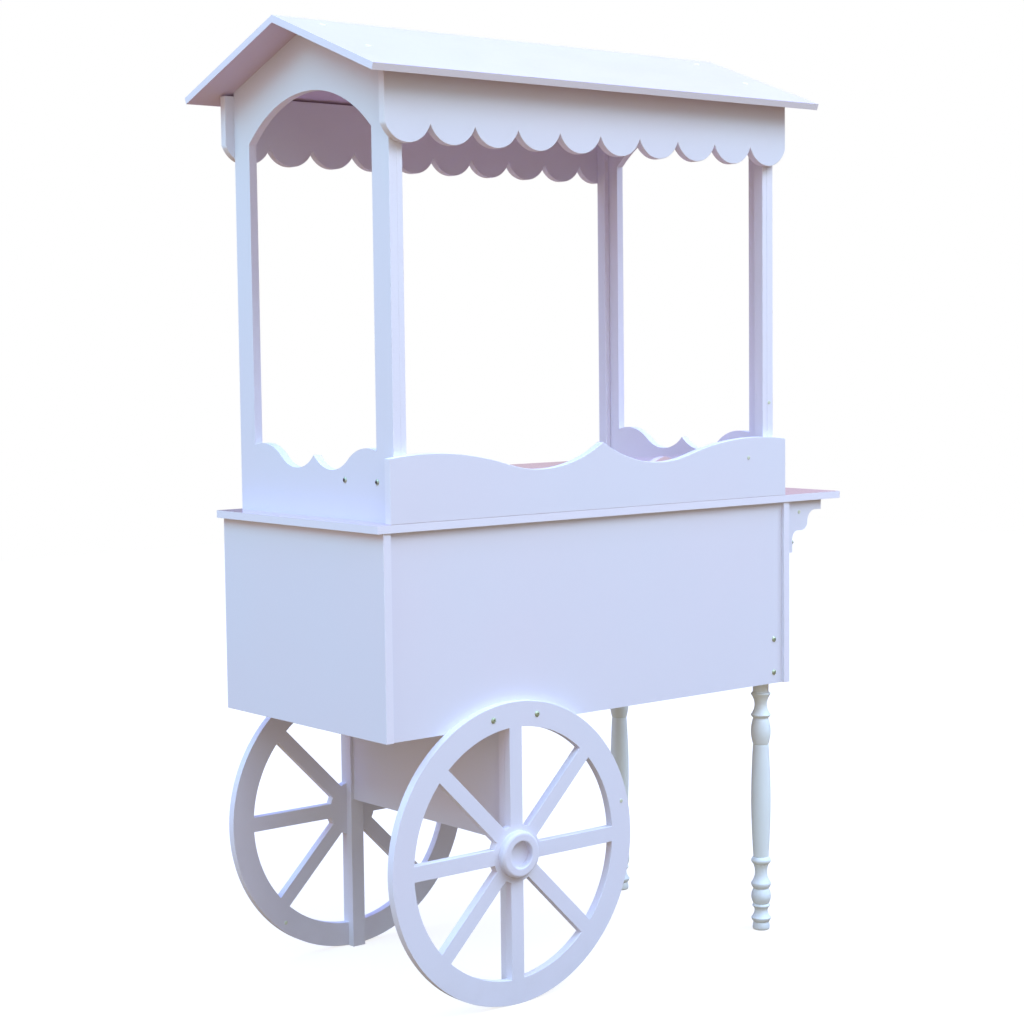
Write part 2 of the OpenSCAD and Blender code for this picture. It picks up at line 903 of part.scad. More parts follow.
module roof_plugs() {
    color(roof_paint) both_sides() at_roof_screws() translate([0, 0, -cap_t])
        cylinder(h = cap_t, r = plug_r, $fn = 32);
}

// Cap on a face that looks to the front
module front_cap(x, y, z) {
    translate([x, y, z]) rotate([90, 0, 0]) cylinder(h = cap_t, r = cap_r, $fn = 32);
}

module screw_caps() {
    color(cap_colour) {
        both_sides() front_cap(cab_x1 + bracket_cap_in, -panel_face, counter_z - bracket_cap_drop);
        front_cap(frame_mid_x + long_board_l / 2 - wavy_cap_in, -board_face, top_z + wavy_cap_h);
        front_cap(frame_x1 - post_cap_in, -frame_edge, top_z + post_cap_h);
        front_cap(
            wheel_x + rim_cap_r * cos(rim_cap_angle), -panel_face - board_t,
            wheel_r + rim_cap_r * sin(rim_cap_angle)
        );
        front_cap(
            wheel_x + rim_cap_r * cos(inner_cap_angle), panel_face,
            wheel_r + rim_cap_r * sin(inner_cap_angle)
        );
    }
}

cabinet_left_end();
cabinet_right_end();
cabinet_front_panel();
rear_lower_rail();
rear_upper_rail();
cabinet_floor();
floor_cleats();
counter_cleats();
corner_cleats();
counter_board();
counter_laminate();
front_bracket();
rear_bracket();
left_end_frame();
right_end_frame();
batten_left_front();
batten_left_rear();
batten_right_front();
batten_right_rear();
wavy_front_board();
ledge_board();
ledge_laminate();
front_valance();
rear_valance();
roof_front_board();
roof_rear_board();
front_wheel();
rear_wheel();
front_hub_ring();
rear_hub_ring();
front_wheel_post();
rear_wheel_post();
cross_panel();
front_leg();
rear_leg();
front_wheel_bolts();
rear_wheel_bolts();
wheel_bolt_nuts();
front_leg_bolts();
rear_leg_bolts();
leg_bolt_nuts();
ledge_bolts();
ledge_barrel_nuts();
frame_screws();
post_screws();
bracket_screws();
roof_screws();
roof_plugs();
screw_caps();
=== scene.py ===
"""Looks of a painted candy cart, built round its packed construction frame.

The construction holds every size and place. This script gives each board rounded arrises and a paler cut
edge, turns the legs and hub rings, makes the fasteners, and lights the cart for the photographer's view.
Lengths are in metres. An outline is a list of radii and heights about an axis.
"""

from __future__ import annotations

import logging
import math
from collections.abc import Callable, Iterable
from dataclasses import dataclass, field
from enum import Enum

import bmesh
import bpy
from mathutils import Matrix, Vector

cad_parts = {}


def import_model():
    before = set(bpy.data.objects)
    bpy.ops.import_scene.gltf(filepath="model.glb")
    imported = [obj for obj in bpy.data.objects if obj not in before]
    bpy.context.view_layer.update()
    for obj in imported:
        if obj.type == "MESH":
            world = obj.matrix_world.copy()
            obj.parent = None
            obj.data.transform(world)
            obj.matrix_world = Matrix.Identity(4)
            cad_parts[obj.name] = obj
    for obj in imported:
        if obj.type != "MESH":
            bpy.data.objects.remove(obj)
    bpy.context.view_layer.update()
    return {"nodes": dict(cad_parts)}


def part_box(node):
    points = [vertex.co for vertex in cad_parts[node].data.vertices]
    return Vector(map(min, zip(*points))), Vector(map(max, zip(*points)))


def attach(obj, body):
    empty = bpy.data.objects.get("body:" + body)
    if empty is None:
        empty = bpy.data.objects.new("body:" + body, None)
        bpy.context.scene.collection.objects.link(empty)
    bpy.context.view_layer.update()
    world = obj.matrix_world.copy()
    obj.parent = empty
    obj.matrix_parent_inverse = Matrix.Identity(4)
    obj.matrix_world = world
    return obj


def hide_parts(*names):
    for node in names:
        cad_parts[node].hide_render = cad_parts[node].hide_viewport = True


LOG = logging.getLogger("candy_cart")
BODY = "root"

# Points nearer than WELD are one, and a face looks a way where the cosine between them is over SQUARE_ON
WELD = 1e-5
SQUARE_ON = 0.8

# An edge that turns less than the first is flat, one past the second is rounded, past the third shaded sharp
FLAT_ANGLE = math.radians(0.8)
SHARP_ANGLE = math.radians(30)
SMOOTH_ANGLE = math.radians(38)

Colour = tuple[float, float, float]
Point = tuple[float, float, float]
Span = tuple[float, float]
Outline = list[Span]
Ring = Callable[[float], float]
Rings = list[tuple[Ring | float, float]]
Mesh = bmesh.types.BMesh
Node = bpy.types.Node
Socket = bpy.types.NodeSocket
Sockets = dict[str, Socket]

DUST: Colour = (0.52, 0.47, 0.46)
WHITE: Colour = (1.0, 1.0, 1.0)


class Slot(Enum):
    """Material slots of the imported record."""

    BOARD = "painted_board"
    LEG = "turned_leg"
    LAMINATE = "pink_laminate"
    STEEL = "zinc_steel"
    PLUG = "roof_plug"
    CAP = "screw_cap"


class Facing(Enum):
    """Ways that a fastener's head or a ring's face can look."""

    FRONT = (0.0, -1.0, 0.0)
    BACK = (0.0, 1.0, 0.0)
    LEFT = (-1.0, 0.0, 0.0)
    RIGHT = (1.0, 0.0, 0.0)

    def seat(self, point: Vector) -> Matrix:
        """Matrix that sets local +Z along this way, with the origin at a point."""
        return seat_along(point, Vector(self.value))


def seat_along(point: Vector, outward: Vector) -> Matrix:
    """Matrix that sets local +Z along a direction, with the origin at a point."""
    return Matrix.Translation(point) @ outward.to_track_quat("Z", "Y").to_matrix().to_4x4()


# Shader nodes


class Shader:
    """Adds and joins the nodes of one material, group or world.

    Attributes:
        tree: The tree that the nodes go into.
        place: Socket of the place on the piece.
    """

    def __init__(self, tree: bpy.types.NodeTree) -> None:
        """Takes the tree, and no place yet."""
        self.tree = tree
        self.place: Socket | None = None

    @classmethod
    def cleared(cls, owner: bpy.types.Material | bpy.types.World, place: str = "Object") -> Shader:
        """Empties the nodes of a material or a world.

        Args:
            owner: The material or the world.
            place: Which texture coordinate is the place.

        Returns:
            A shader for its nodes.
        """
        owner.use_nodes = True
        owner.node_tree.nodes.clear()
        shader = cls(owner.node_tree)
        shader.place = shader.add("TexCoord").outputs[place]
        return shader

    def add(self, kind: str, values: dict[str | int, object] | None = None, **settings: object) -> Node:
        """Adds one node.

        Args:
            kind: Blender's name of the node's type, without its leading word.
            values: Sockets to set: a number or colour is set on the socket, another node's socket is linked.
            settings: Properties of the node.

        Returns:
            The new node.
        """
        node = self.tree.nodes.new("ShaderNode" + kind)
        for name, value in settings.items():
            setattr(node, name, value)
        for name, value in (values or {}).items():
            self.feed(node.inputs[name], value)
        return node

    def feed(self, socket: Socket, value: object) -> None:
        """Links a socket to another node's output, or sets its own value.

        Args:
            socket: The socket.
            value: The other node's output, or the value.
        """
        if isinstance(value, Socket):
            self.tree.links.new(value, socket)
        elif isinstance(value, tuple) and len(value) == 3 and socket.type == "RGBA":
            socket.default_value = (*value, 1.0)
        else:
            socket.default_value = value

    def lay(self, effect: type[Effect], **values: object) -> Sockets:
        """Sets an effect at the place.

        Args:
            effect: The effect, whose group is built on first use.
            values: Values or sockets for its other inputs.

        Returns:
            Its outputs, by name.
        """
        group = bpy.data.node_groups.get(effect.name) or effect().tree
        node = self.add("Group", {"Place": self.place, **values}, node_tree=group)
        return {s.name: s for s in node.outputs}

    def math(self, operation: str, first: object, second: object = 0.0, clamp: bool = False) -> Socket:
        """Joins two numbers with one operation, and holds the result between 0 and 1 where clamp is true."""
        return self.add("Math", {0: first, 1: second}, operation=operation, use_clamp=clamp).outputs[0]

    def spread(
        self, value: object, low: float, high: float, to_low: object = 0.0, to_high: object = 1.0,
        **settings: object,
    ) -> Socket:
        """Maps the range from low to high onto the range from to_low to to_high."""
        values = {"Value": value, "From Min": low, "From Max": high, "To Min": to_low, "To Max": to_high}
        return self.add("MapRange", values, **settings).outputs[0]

    def blend(self, share: object, first: object, second: object, most: float = 1.0) -> Socket:
        """Mixes two colours.

        Args:
            share: How much of the second colour there is.
            first: First colour or socket.
            second: Second colour or socket.
            most: What the share is multiplied by.

        Returns:
            The mixed colour's socket.
        """
        if most < 1.0:
            share = self.math("MULTIPLY", share, most)
        node = self.add("Mix", data_type="RGBA")
        for index, value in ((0, share), (6, first), (7, second)):
            self.feed(node.inputs[index], value)
        return node.outputs[2]

    def noise(
        self, scale: object, detail: float = 2.0, roughness: float = 0.5, place: Socket | None = None
    ) -> Socket:
        """Gives smooth noise, about 0.2 to 0.8, with scale bumps to the metre and detail finer layers."""
        values = {"Vector": place or self.place, "Scale": scale, "Detail": detail, "Roughness": roughness}
        return self.add("TexNoise", values).outputs[0]

    def output(self, kind: str, last: Node) -> None:
        """Joins the last node to a new output of the material or the world."""
        self.add(kind, {"Surface": last.outputs[0]})

    def split_output(self, kind: str, seen: Node, unseen: Node) -> None:
        """Shows one node to the camera and another to everything else, in a new output."""
        eye = self.add("LightPath").outputs["Is Camera Ray"]
        self.output(kind, self.add("MixShader", {0: eye, 1: unseen.outputs[0], 2: seen.outputs[0]}))


class Effect(Shader):
    """A surface effect that several finishes share, kept as one node group.

    Attributes:
        name: The group's name.
        takes: Kinds of its inputs beside the place, by name.
        gives: Kinds of its outputs, by name.
        given: Sockets of its inputs, by name.
    """

    name = ""
    takes: dict[str, str] = {}
    gives: dict[str, str] = {}

    def __init__(self) -> None:
        """Makes the group with its sockets and builds its inside."""
        super().__init__(bpy.data.node_groups.new(self.name, "ShaderNodeTree"))
        for way, kinds in (("INPUT", {"Place": "Vector", **self.takes}), ("OUTPUT", self.gives)):
            for name, kind in kinds.items():
                self.tree.interface.new_socket(name=name, in_out=way, socket_type="NodeSocket" + kind)
        self.given = {s.name: s for s in self.tree.nodes.new("NodeGroupInput").outputs if s.name}
        self.place = self.given["Place"]
        outside = self.tree.nodes.new("NodeGroupOutput")
        for name, socket in self.wire().items():
            self.feed(outside.inputs[name], socket)

    def wire(self) -> Sockets:
        """Builds the group's inside and returns what its outputs show, by name."""
        raise NotImplementedError


class PaintDrift(Effect):
    """Slow change of a paint's colour over a board, with a fine speckle."""

    name = "paint_drift"
    takes = {"Paint": "Color", "Drift": "Color", "Scale": "Float", "Amount": "Float"}
    gives = {"Colour": "Color"}
    speckle_scale = 420.0
    speckle_share = 0.12

    def wire(self) -> Sockets:
        """Mixes the paint with its drift by slow noise and a fine speckle.

        Returns:
            The mixed colour.
        """
        slow = self.noise(self.given["Scale"], detail=3.0)
        share = self.spread(slow, 0.36, 0.66, 0.0, self.given["Amount"])
        speckle = self.spread(self.noise(self.speckle_scale, detail=1.0), 0.3, 0.7, 0.0, self.speckle_share)
        both = self.math("ADD", share, speckle, True)
        return {"Colour": self.blend(both, self.given["Paint"], self.given["Drift"])}


class OrangePeel(Effect):
    """Fine ripple that a roller or spray leaves in paint."""

    name = "orange_peel"
    takes = {"Scale": "Float"}
    gives = {"Height": "Float"}

    def wire(self) -> Sockets:
        """Adds soft cells to fine noise.

        Returns:
            The ripple's height.
        """
        scale = self.given["Scale"]
        cells = self.add("TexVoronoi", {"Vector": self.place, "Scale": scale}, feature="SMOOTH_F1")
        return {"Height": self.math("ADD", cells.outputs["Distance"], self.noise(scale))}


class Scuffs(Effect):
    """Faint hairlines from wiping and handling, in patches."""

    name = "hairline_scuffs"
    takes = {"Scale": "Float"}
    gives = {"Mask": "Float"}
    strokes = ((0.5, (1.0, 1.0, 26.0)), (-0.9, (22.0, 22.0, 1.0)))
    patch_scale = 5.0

    def wire(self) -> Sockets:
        """Stretches noise along two slanting directions and shows it in patches.

        Returns:
            A mask of the hairlines.
        """
        lines = []
        for turn, stretch in self.strokes:
            values = {"Vector": self.place, "Rotation": (turn, turn, 0.3), "Scale": stretch}
            along = self.add("Mapping", values).outputs[0]
            lines.append(self.spread(self.noise(self.given["Scale"], detail=3.0, place=along), 0.63, 0.7))
        patches = self.spread(self.noise(self.patch_scale), 0.45, 0.62)
        return {"Mask": self.math("MULTIPLY", self.math("MAXIMUM", *lines), patches, True)}


class RubbedHighlitEdge(Effect):
    """Arrises painted paler: paint rubbed thin, and a painted highlight where the edges catch the light."""

    name = "rubbed_highlit_edge"
    takes = {"Width": "Float"}
    gives = {"Mask": "Float"}

    def wire(self) -> Sockets:
        """Compares the rounded normal with the true one and breaks the line up.

        Returns:
            A mask of the arrises that take the rubbed paint and the painted highlight.
        """
        rounded = self.add("Bevel", {"Radius": self.given["Width"]}, samples=4).outputs[0]
        true = self.add("NewGeometry").outputs["Normal"]
        bend = self.add("VectorMath", {0: rounded, 1: true}, operation="DOT_PRODUCT").outputs["Value"]
        breaks = self.spread(self.noise(40.0, detail=4.0), 0.35, 0.6, 0.25)
        return {"Mask": self.math("MULTIPLY", self.spread(bend, 0.99, 0.82), breaks, True)}


class FloorDust(Effect):
    """Thin dust that settles on what stands close to the floor."""

    name = "floor_dust"
    takes = {"Reach": "Float"}
    gives = {"Mask": "Float"}

    def wire(self) -> Sockets:
        """Fades upwards from the floor and clouds the film.

        Returns:
            A mask of the dust.
        """
        height = self.add("SeparateXYZ", {0: self.place}).outputs["Z"]
        low = self.math("SUBTRACT", 1.0, self.math("DIVIDE", height, self.given["Reach"]), True)
        cloud = self.spread(self.noise(18.0, detail=4.0), 0.3, 0.7, 0.2)
        return {"Mask": self.math("MULTIPLY", low, cloud, True)}


class CutterMarks(Effect):
    """Fine pores and cutter chatter on a board's sawn edge."""

    name = "cutter_marks"
    takes = {"Scale": "Float"}
    gives = {"Height": "Float", "Pores": "Float"}
    chatter_scale = 150.0

    def wire(self) -> Sockets:
        """Joins coarse chatter and fine pores.

        Returns:
            The marks' height, and a mask of the pores.
        """
        pores = self.spread(self.noise(self.given["Scale"], detail=3.0, roughness=0.7), 0.52, 0.72)
        chatter = self.noise(self.chatter_scale, detail=1.0)
        return {"Height": self.math("SUBTRACT", chatter, pores), "Pores": pores}


class LatheRings(Effect):
    """Faint rings that a lathe leaves round a turned leg."""

    name = "lathe_rings"
    takes = {"Pitch": "Float"}
    gives = {"Height": "Float"}
    wander = 0.6

    def wire(self) -> Sockets:
        """Draws a wave along the leg and varies its strength.

        Returns:
            The rings' height.
        """
        height = self.add("SeparateXYZ", {0: self.place}).outputs["Z"]
        wander = self.spread(self.noise(60.0), 0.0, 1.0, -self.wander, self.wander)
        turns = self.math("ADD", self.math("DIVIDE", height, self.given["Pitch"]), wander)
        wave = self.math("SINE", self.math("MULTIPLY", turns, math.tau))
        strength = self.spread(self.noise(30.0), 0.35, 0.65, 0.1, 0.5)
        return {"Height": self.math("MULTIPLY", wave, strength)}


# Finishes


@dataclass(frozen=True)
class Finish:
    """Base of every finish: makes its material once.

    Attributes:
        name: The material's name.
        colour: Its colour.
        drift: Colour that it drifts to in patches.
        mark: Colour of rubbed paint with a painted highlight on a face's arrises, or of the painted shade in
            a cut edge's pores.
        roughness: Roughness of its smoothest and its roughest patches.
        relief: Depth of its fine relief.
    """

    name: str
    colour: Colour
    drift: Colour
    mark: Colour = DUST
    roughness: Span = (0.4, 0.5)
    relief: float = 0.0001

    def dress(self, shader: Shader) -> dict[str, object]:
        """Gives the values and sockets of the principled surface, by the name of its input."""
        raise NotImplementedError

    def material(self) -> bpy.types.Material:
        """Makes the finish's material on first use.

        Returns:
            The material.
        """
        made = bpy.data.materials.get(self.name)
        if not made:
            made = bpy.data.materials.new(self.name)
            shader = Shader.cleared(made)
            shader.output("OutputMaterial", shader.add("BsdfPrincipled", self.dress(shader)))
        return made

    def coat(self, shader: Shader, scale: float, amount: float) -> Socket:
        """Lays the drifting colour, with patches of a scale and an amount."""
        values = {"Paint": self.colour, "Drift": self.drift, "Scale": scale, "Amount": amount}
        return shader.lay(PaintDrift, **values)["Colour"]

    def emboss(self, shader: Shader, height: Socket, strength: float) -> Socket:
        """Turns a height into a normal, of which a share shows."""
        values = {"Height": height, "Distance": self.relief, "Strength": strength}
        return shader.add("Bump", values).outputs[0]


@dataclass(frozen=True)
class SatinPaint(Finish):
    """Satin paint on a board's face, paler on its arrises: rubbed paint and a painted highlight.

    Attributes:
        rub_highlight_share: How far the arrises take the mark's colour, rubbed paint and painted highlight.
        dust_share: How far dust hides the paint by the floor.
        scuff_roughness: Roughness that scuffs add.
        dust_roughness: Roughness that dust adds.
    """

    roughness: Span = (0.37, 0.48)
    relief: float = 0.00012
    rub_highlight_share: float = 0.7
    dust_share: float = 0.22
    scuff_roughness: float = 0.12
    dust_roughness: float = 0.2

    def dress(self, shader: Shader) -> dict[str, object]:
        """Layers drift, dust, paler arrises of rubbed paint and painted highlight, scuffs and orange peel.

        Args:
            shader: The material's nodes.

        Returns:
            The surface's values and sockets.
        """
        # the arrises are blended towards the paler mark: rubbed paint, and a painted highlight
        rub_highlight = shader.lay(RubbedHighlitEdge, Width=0.0025)["Mask"]
        dust = shader.lay(FloorDust, Reach=0.18)["Mask"]
        scuff = shader.lay(Scuffs, Scale=14.0)["Mask"]
        peel = shader.lay(OrangePeel, Scale=240.0)["Height"]
        dusty = shader.blend(dust, self.coat(shader, 2.6, 0.6), DUST, self.dust_share)
        cloudy = shader.spread(shader.noise(9.0, detail=3.0), 0.3, 0.7, *self.roughness)
        scuffed = shader.math("MULTIPLY", scuff, self.scuff_roughness)
        worn = shader.math("ADD", scuffed, shader.math("MULTIPLY", dust, self.dust_roughness))
        ripple = shader.math("SUBTRACT", peel, shader.math("MULTIPLY", scuff, 0.8))
        return {
            "Base Color": shader.blend(rub_highlight, dusty, self.mark, self.rub_highlight_share),
            "Roughness": shader.math("ADD", cloudy, worn, True),
            "Specular IOR Level": 0.35,
            "Normal": self.emboss(shader, ripple, 0.3),
        }


@dataclass(frozen=True)
class CutEdge(Finish):
    """Painted saw-cut edge of a board, paler and drier than its faces, with painted shade in its pores.

    Attributes:
        pore_shade_share: How far the pores take the darker mark, painted shade in the holes.
        dust_share: How far dust hides the paint by the floor.
    """

    roughness: Span = (0.5, 0.72)
    relief: float = 0.00015
    pore_shade_share: float = 0.35
    dust_share: float = 0.22

    def dress(self, shader: Shader) -> dict[str, object]:
        """Layers drift, painted shade in the pores, dust and cutter marks.

        Args:
            shader: The material's nodes.

        Returns:
            The surface's values and sockets.
        """
        marks = shader.lay(CutterMarks, Scale=700.0)
        dust = shader.lay(FloorDust, Reach=0.18)["Mask"]
        dusty = shader.blend(dust, self.coat(shader, 9.0, 0.5), DUST, self.dust_share)
        return {
            # the pores are painted darker: painted shade in the holes
            "Base Color": shader.blend(marks["Pores"], dusty, self.mark, self.pore_shade_share),
            "Roughness": shader.spread(marks["Pores"], 0.0, 1.0, *self.roughness),
            "Specular IOR Level": 0.3,
            "Normal": self.emboss(shader, marks["Height"], 0.35),
        }


@dataclass(frozen=True)
class TurnedPaint(Finish):
    """Paint over turned wood.

    Attributes:
        dust_share: How far dust hides the paint by the floor.
    """

    roughness: Span = (0.38, 0.5)
    relief: float = 0.00012
    dust_share: float = 0.3

    def dress(self, shader: Shader) -> dict[str, object]:
        """Layers drift, long grain, dust and lathe rings.

        Args:
            shader: The material's nodes.

        Returns:
            The surface's values and sockets.
        """
        dust = shader.lay(FloorDust, Reach=0.2)["Mask"]
        rings = shader.lay(LatheRings, Pitch=0.0016)["Height"]
        along = shader.add("Mapping", {"Vector": shader.place, "Scale": (1.0, 1.0, 0.06)}).outputs[0]
        grain = shader.noise(520.0, detail=4.0, roughness=0.6, place=along)
        relief = shader.math("ADD", rings, shader.math("MULTIPLY", grain, 0.8))
        return {
            "Base Color": shader.blend(dust, self.coat(shader, 11.0, 0.55), DUST, self.dust_share),
            "Roughness": shader.spread(grain, 0.3, 0.7, *self.roughness),
            "Specular IOR Level": 0.45,
            "Normal": self.emboss(shader, relief, 0.35),
        }


@dataclass(frozen=True)
class GlossLaminate(Finish):
    """Glossy laminate sheet.

    Attributes:
        scuff_roughness: Roughness that scuffs add.
    """

    roughness: Span = (0.05, 0.09)
    scuff_roughness: float = 0.03

    def dress(self, shader: Shader) -> dict[str, object]:
        """Layers drift, faint wiping marks and a slow ripple under a clear coat.

        Args:
            shader: The material's nodes.

        Returns:
            The surface's values and sockets.
        """
        smear = shader.spread(shader.noise(7.0, detail=3.0), 0.35, 0.7, *self.roughness)
        scuffed = shader.math("MULTIPLY", shader.lay(Scuffs, Scale=20.0)["Mask"], self.scuff_roughness)
        return {
            "Base Color": self.coat(shader, 4.0, 0.5),
            "Roughness": shader.math("ADD", smear, scuffed, True),
            "Coat Weight": 0.5,
            "Coat Roughness": 0.04,
            "Normal": self.emboss(shader, shader.noise(26.0, detail=1.0), 0.1),
        }


@dataclass(frozen=True)
class ZincPlate(Finish):
    """Zinc-plated steel, clouded with its second colour."""

    roughness: Span = (0.54, 0.68)
    relief: float = 0.00004

    def dress(self, shader: Shader) -> dict[str, object]:
        """Clouds the plating and gives it a fine drawn grain.

        Args:
            shader: The material's nodes.

        Returns:
            The surface's values and sockets.
        """
        cloud = shader.noise(260.0, detail=4.0)
        return {
            "Base Color": shader.blend(shader.spread(cloud, 0.35, 0.65), self.colour, self.drift),
            "Roughness": shader.spread(cloud, 0.3, 0.7, *self.roughness),
            "Metallic": 1.0,
            "Normal": self.emboss(shader, shader.noise(1800.0), 0.3),
        }


@dataclass(frozen=True)
class MattPlastic(Finish):
    """Moulded matt plastic of a plug or cap."""

    roughness: Span = (0.42, 0.6)
    relief: float = 0.00005

    def dress(self, shader: Shader) -> dict[str, object]:
        """Layers drift and a fine moulded texture.

        Args:
            shader: The material's nodes.

        Returns:
            The surface's values and sockets.
        """
        skin = shader.lay(OrangePeel, Scale=1500.0)["Height"]
        return {
            "Base Color": self.coat(shader, 160.0, 0.6),
            "Roughness": shader.spread(skin, 0.3, 1.2, *self.roughness),
            "Normal": self.emboss(shader, skin, 0.3),
        }


@dataclass(frozen=True)
class Finishes:
    """All finishes of the cart."""

    board: Finish = SatinPaint("lavender_satin", (0.74, 0.737, 0.8), (0.76, 0.722, 0.785), (0.82, 0.81, 0.86))
    # The roof's paint and its cut edge are darker, pinker copies of the board's: painted shade that tones
    # down the strong light from above.
    roof: Finish = SatinPaint("roof_satin_painted_shade", (0.69, 0.565, 0.70), (0.70, 0.56, 0.69), (0.78, 0.69, 0.80))
    edge: Finish = CutEdge("lavender_cut_edge", (0.80, 0.78, 0.84), (0.81, 0.77, 0.83), (0.66, 0.62, 0.68))
    roof_shaded_edge: Finish = CutEdge("roof_cut_edge_painted_shade", (0.79, 0.755, 0.82), (0.80, 0.745, 0.81), (0.65, 0.60, 0.66))
    leg: Finish = TurnedPaint("cool_white_turned", (0.80, 0.855, 0.83), (0.81, 0.86, 0.84))
    laminate: Finish = GlossLaminate("pink_gloss", (0.74, 0.50, 0.60), (0.76, 0.53, 0.63))
    zinc: Finish = ZincPlate("zinc_plate", (0.60, 0.64, 0.45), (0.48, 0.52, 0.37))
    # A darker copy of the zinc: painted shade on the outer bolts' rims and shanks round a paler crown.
    shaded_zinc: Finish = ZincPlate("shaded_zinc_plate", (0.55, 0.60, 0.40), (0.43, 0.48, 0.32))
    # The next plate is much darker: painted shade in the ledge bolts' sockets and over their crowns.
    socket_shade: Finish = ZincPlate("socket_shade_plate", (0.30, 0.30, 0.29), (0.18, 0.18, 0.18))
    plug: Finish = MattPlastic("white_plug", (0.91, 0.90, 0.92), (0.89, 0.88, 0.91))
    cap: Finish = MattPlastic("pale_green_cap", (0.68, 0.70, 0.53), (0.58, 0.62, 0.44))


# Shaping


@dataclass(frozen=True)
class Solid:
    """One closed solid of a construction node, by the corners and the middle of its box."""

    low: Vector
    high: Vector
    middle: Vector


def welded_copy(node: bpy.types.Object) -> Mesh:
    """Copies a construction node with its loose triangles joined.

    Args:
        node: The node's object.

    Returns:
        A new mesh in memory.
    """
    bm = bmesh.new()
    bm.from_mesh(node.data)
    bmesh.ops.remove_doubles(bm, verts=bm.verts, dist=WELD)
    return bm


def whole_copy(node: bpy.types.Object) -> Mesh:
    """Copies a construction node with its triangles joined and its flat faces whole.

    Args:
        node: The node's object.

    Returns:
        A new mesh in memory.
    """
    bm = welded_copy(node)
    bmesh.ops.dissolve_limit(bm, angle_limit=FLAT_ANGLE, verts=bm.verts, edges=bm.edges)
    bmesh.ops.recalc_face_normals(bm, faces=bm.faces)
    return bm


def solids_of(node: bpy.types.Object) -> list[Solid]:
    """Finds the closed solids of a node.

    Args:
        node: The node's object.

    Returns:
        The solids, in the order of their middles.
    """
    bm = welded_copy(node)
    left = set(bm.verts)
    found = []
    while left:
        stack = [left.pop()]
        points = []
        while stack:
            vert = stack.pop()
            points.append(vert.co.copy())
            near = {edge.other_vert(vert) for edge in vert.link_edges} & left
            left -= near
            stack.extend(near)
        low = Vector(min(p[axis] for p in points) for axis in range(3))
        high = Vector(max(p[axis] for p in points) for axis in range(3))
        found.append(Solid(low, high, (low + high) / 2))
    bm.free()
    return sorted(found, key=lambda s: tuple(round(v, 4) for v in s.middle))


def thickness_axis(bm: Mesh) -> Vector:
    """Finds the direction that a board is thin in: the one most of its area looks to.

    Args:
        bm: The board's mesh.

    Returns:
        A unit vector, with its largest part positive.
    """
    areas: dict[tuple[float, ...], float] = {}
    for face in bm.faces:
        largest = max(face.normal, key=abs)
        way = face.normal if largest > 0 else -face.normal
        key = tuple(round(v, 3) for v in way)
        areas[key] = areas.get(key, 0.0) + face.calc_area()
    return Vector(max(areas, key=lambda key: areas[key])).normalized()


def round_edges(bm: Mesh, edges: list[bmesh.types.BMEdge], radius: float, segments: int) -> None:
    """Rounds some edges of a mesh to a radius, with a number of faces across."""
    bmesh.ops.bevel(
        bm, geom=edges, offset=radius, offset_type="OFFSET", segments=segments, profile=0.5,
        affect="EDGES", clamp_overlap=True, material=-1,
    )


def round_arrises(bm: Mesh, radius: float, segments: int) -> None:
    """Rounds every sharp edge of a mesh to a radius, with a number of faces across."""
    sharp = [e for e in bm.edges if len(e.link_faces) == 2 and e.calc_face_angle() > SHARP_ANGLE]
    round_edges(bm, sharp, radius, segments)


def eased_corner(radius: float, height: float, ease: float, way: int) -> Outline:
    """Rounds the corner between a turned side and its end.

    Args:
        radius: Radius of the side.
        height: Height of the end.
        ease: Radius of the rounding.
        way: 1 where the end looks up, and -1 where it looks down.

    Returns:
        Three points, from the side to the end.
    """
    short = 0.3 * ease
    return [(radius, height - way * ease), (radius - short, height - way * short), (radius - ease, height)]


def hexagon(flats: float) -> Ring:
    """Radius of a hexagon at each angle, from its width across flats."""
    sixth = math.tau / 6
    return lambda angle: flats / 2 / math.cos((angle % sixth) - sixth / 2)


def cross(reach: float, waist: float) -> Ring:
    """Radius of a rounded four-armed cross at each angle, from its reach and waist."""
    return lambda angle: waist + (reach - waist) * (0.5 + 0.5 * math.cos(4 * angle)) ** 3


def circle(radius: float) -> Ring:
    """Radius of a circle at each angle."""
    return lambda angle: radius


def set_ring(verts: Iterable[bmesh.types.BMVert], step: float, radius: Ring, height: float) -> None:
    """Moves a ring's points to their radius and height.

    Args:
        verts: The points.
        step: Angle from each point to the next.
        radius: Radius at each angle.
        height: Height of the ring.
    """
    for vert in verts:
        angle = round(math.atan2(vert.co.y, vert.co.x) / step) * step
        vert.co = Vector((radius(angle) * math.cos(angle), radius(angle) * math.sin(angle), height))


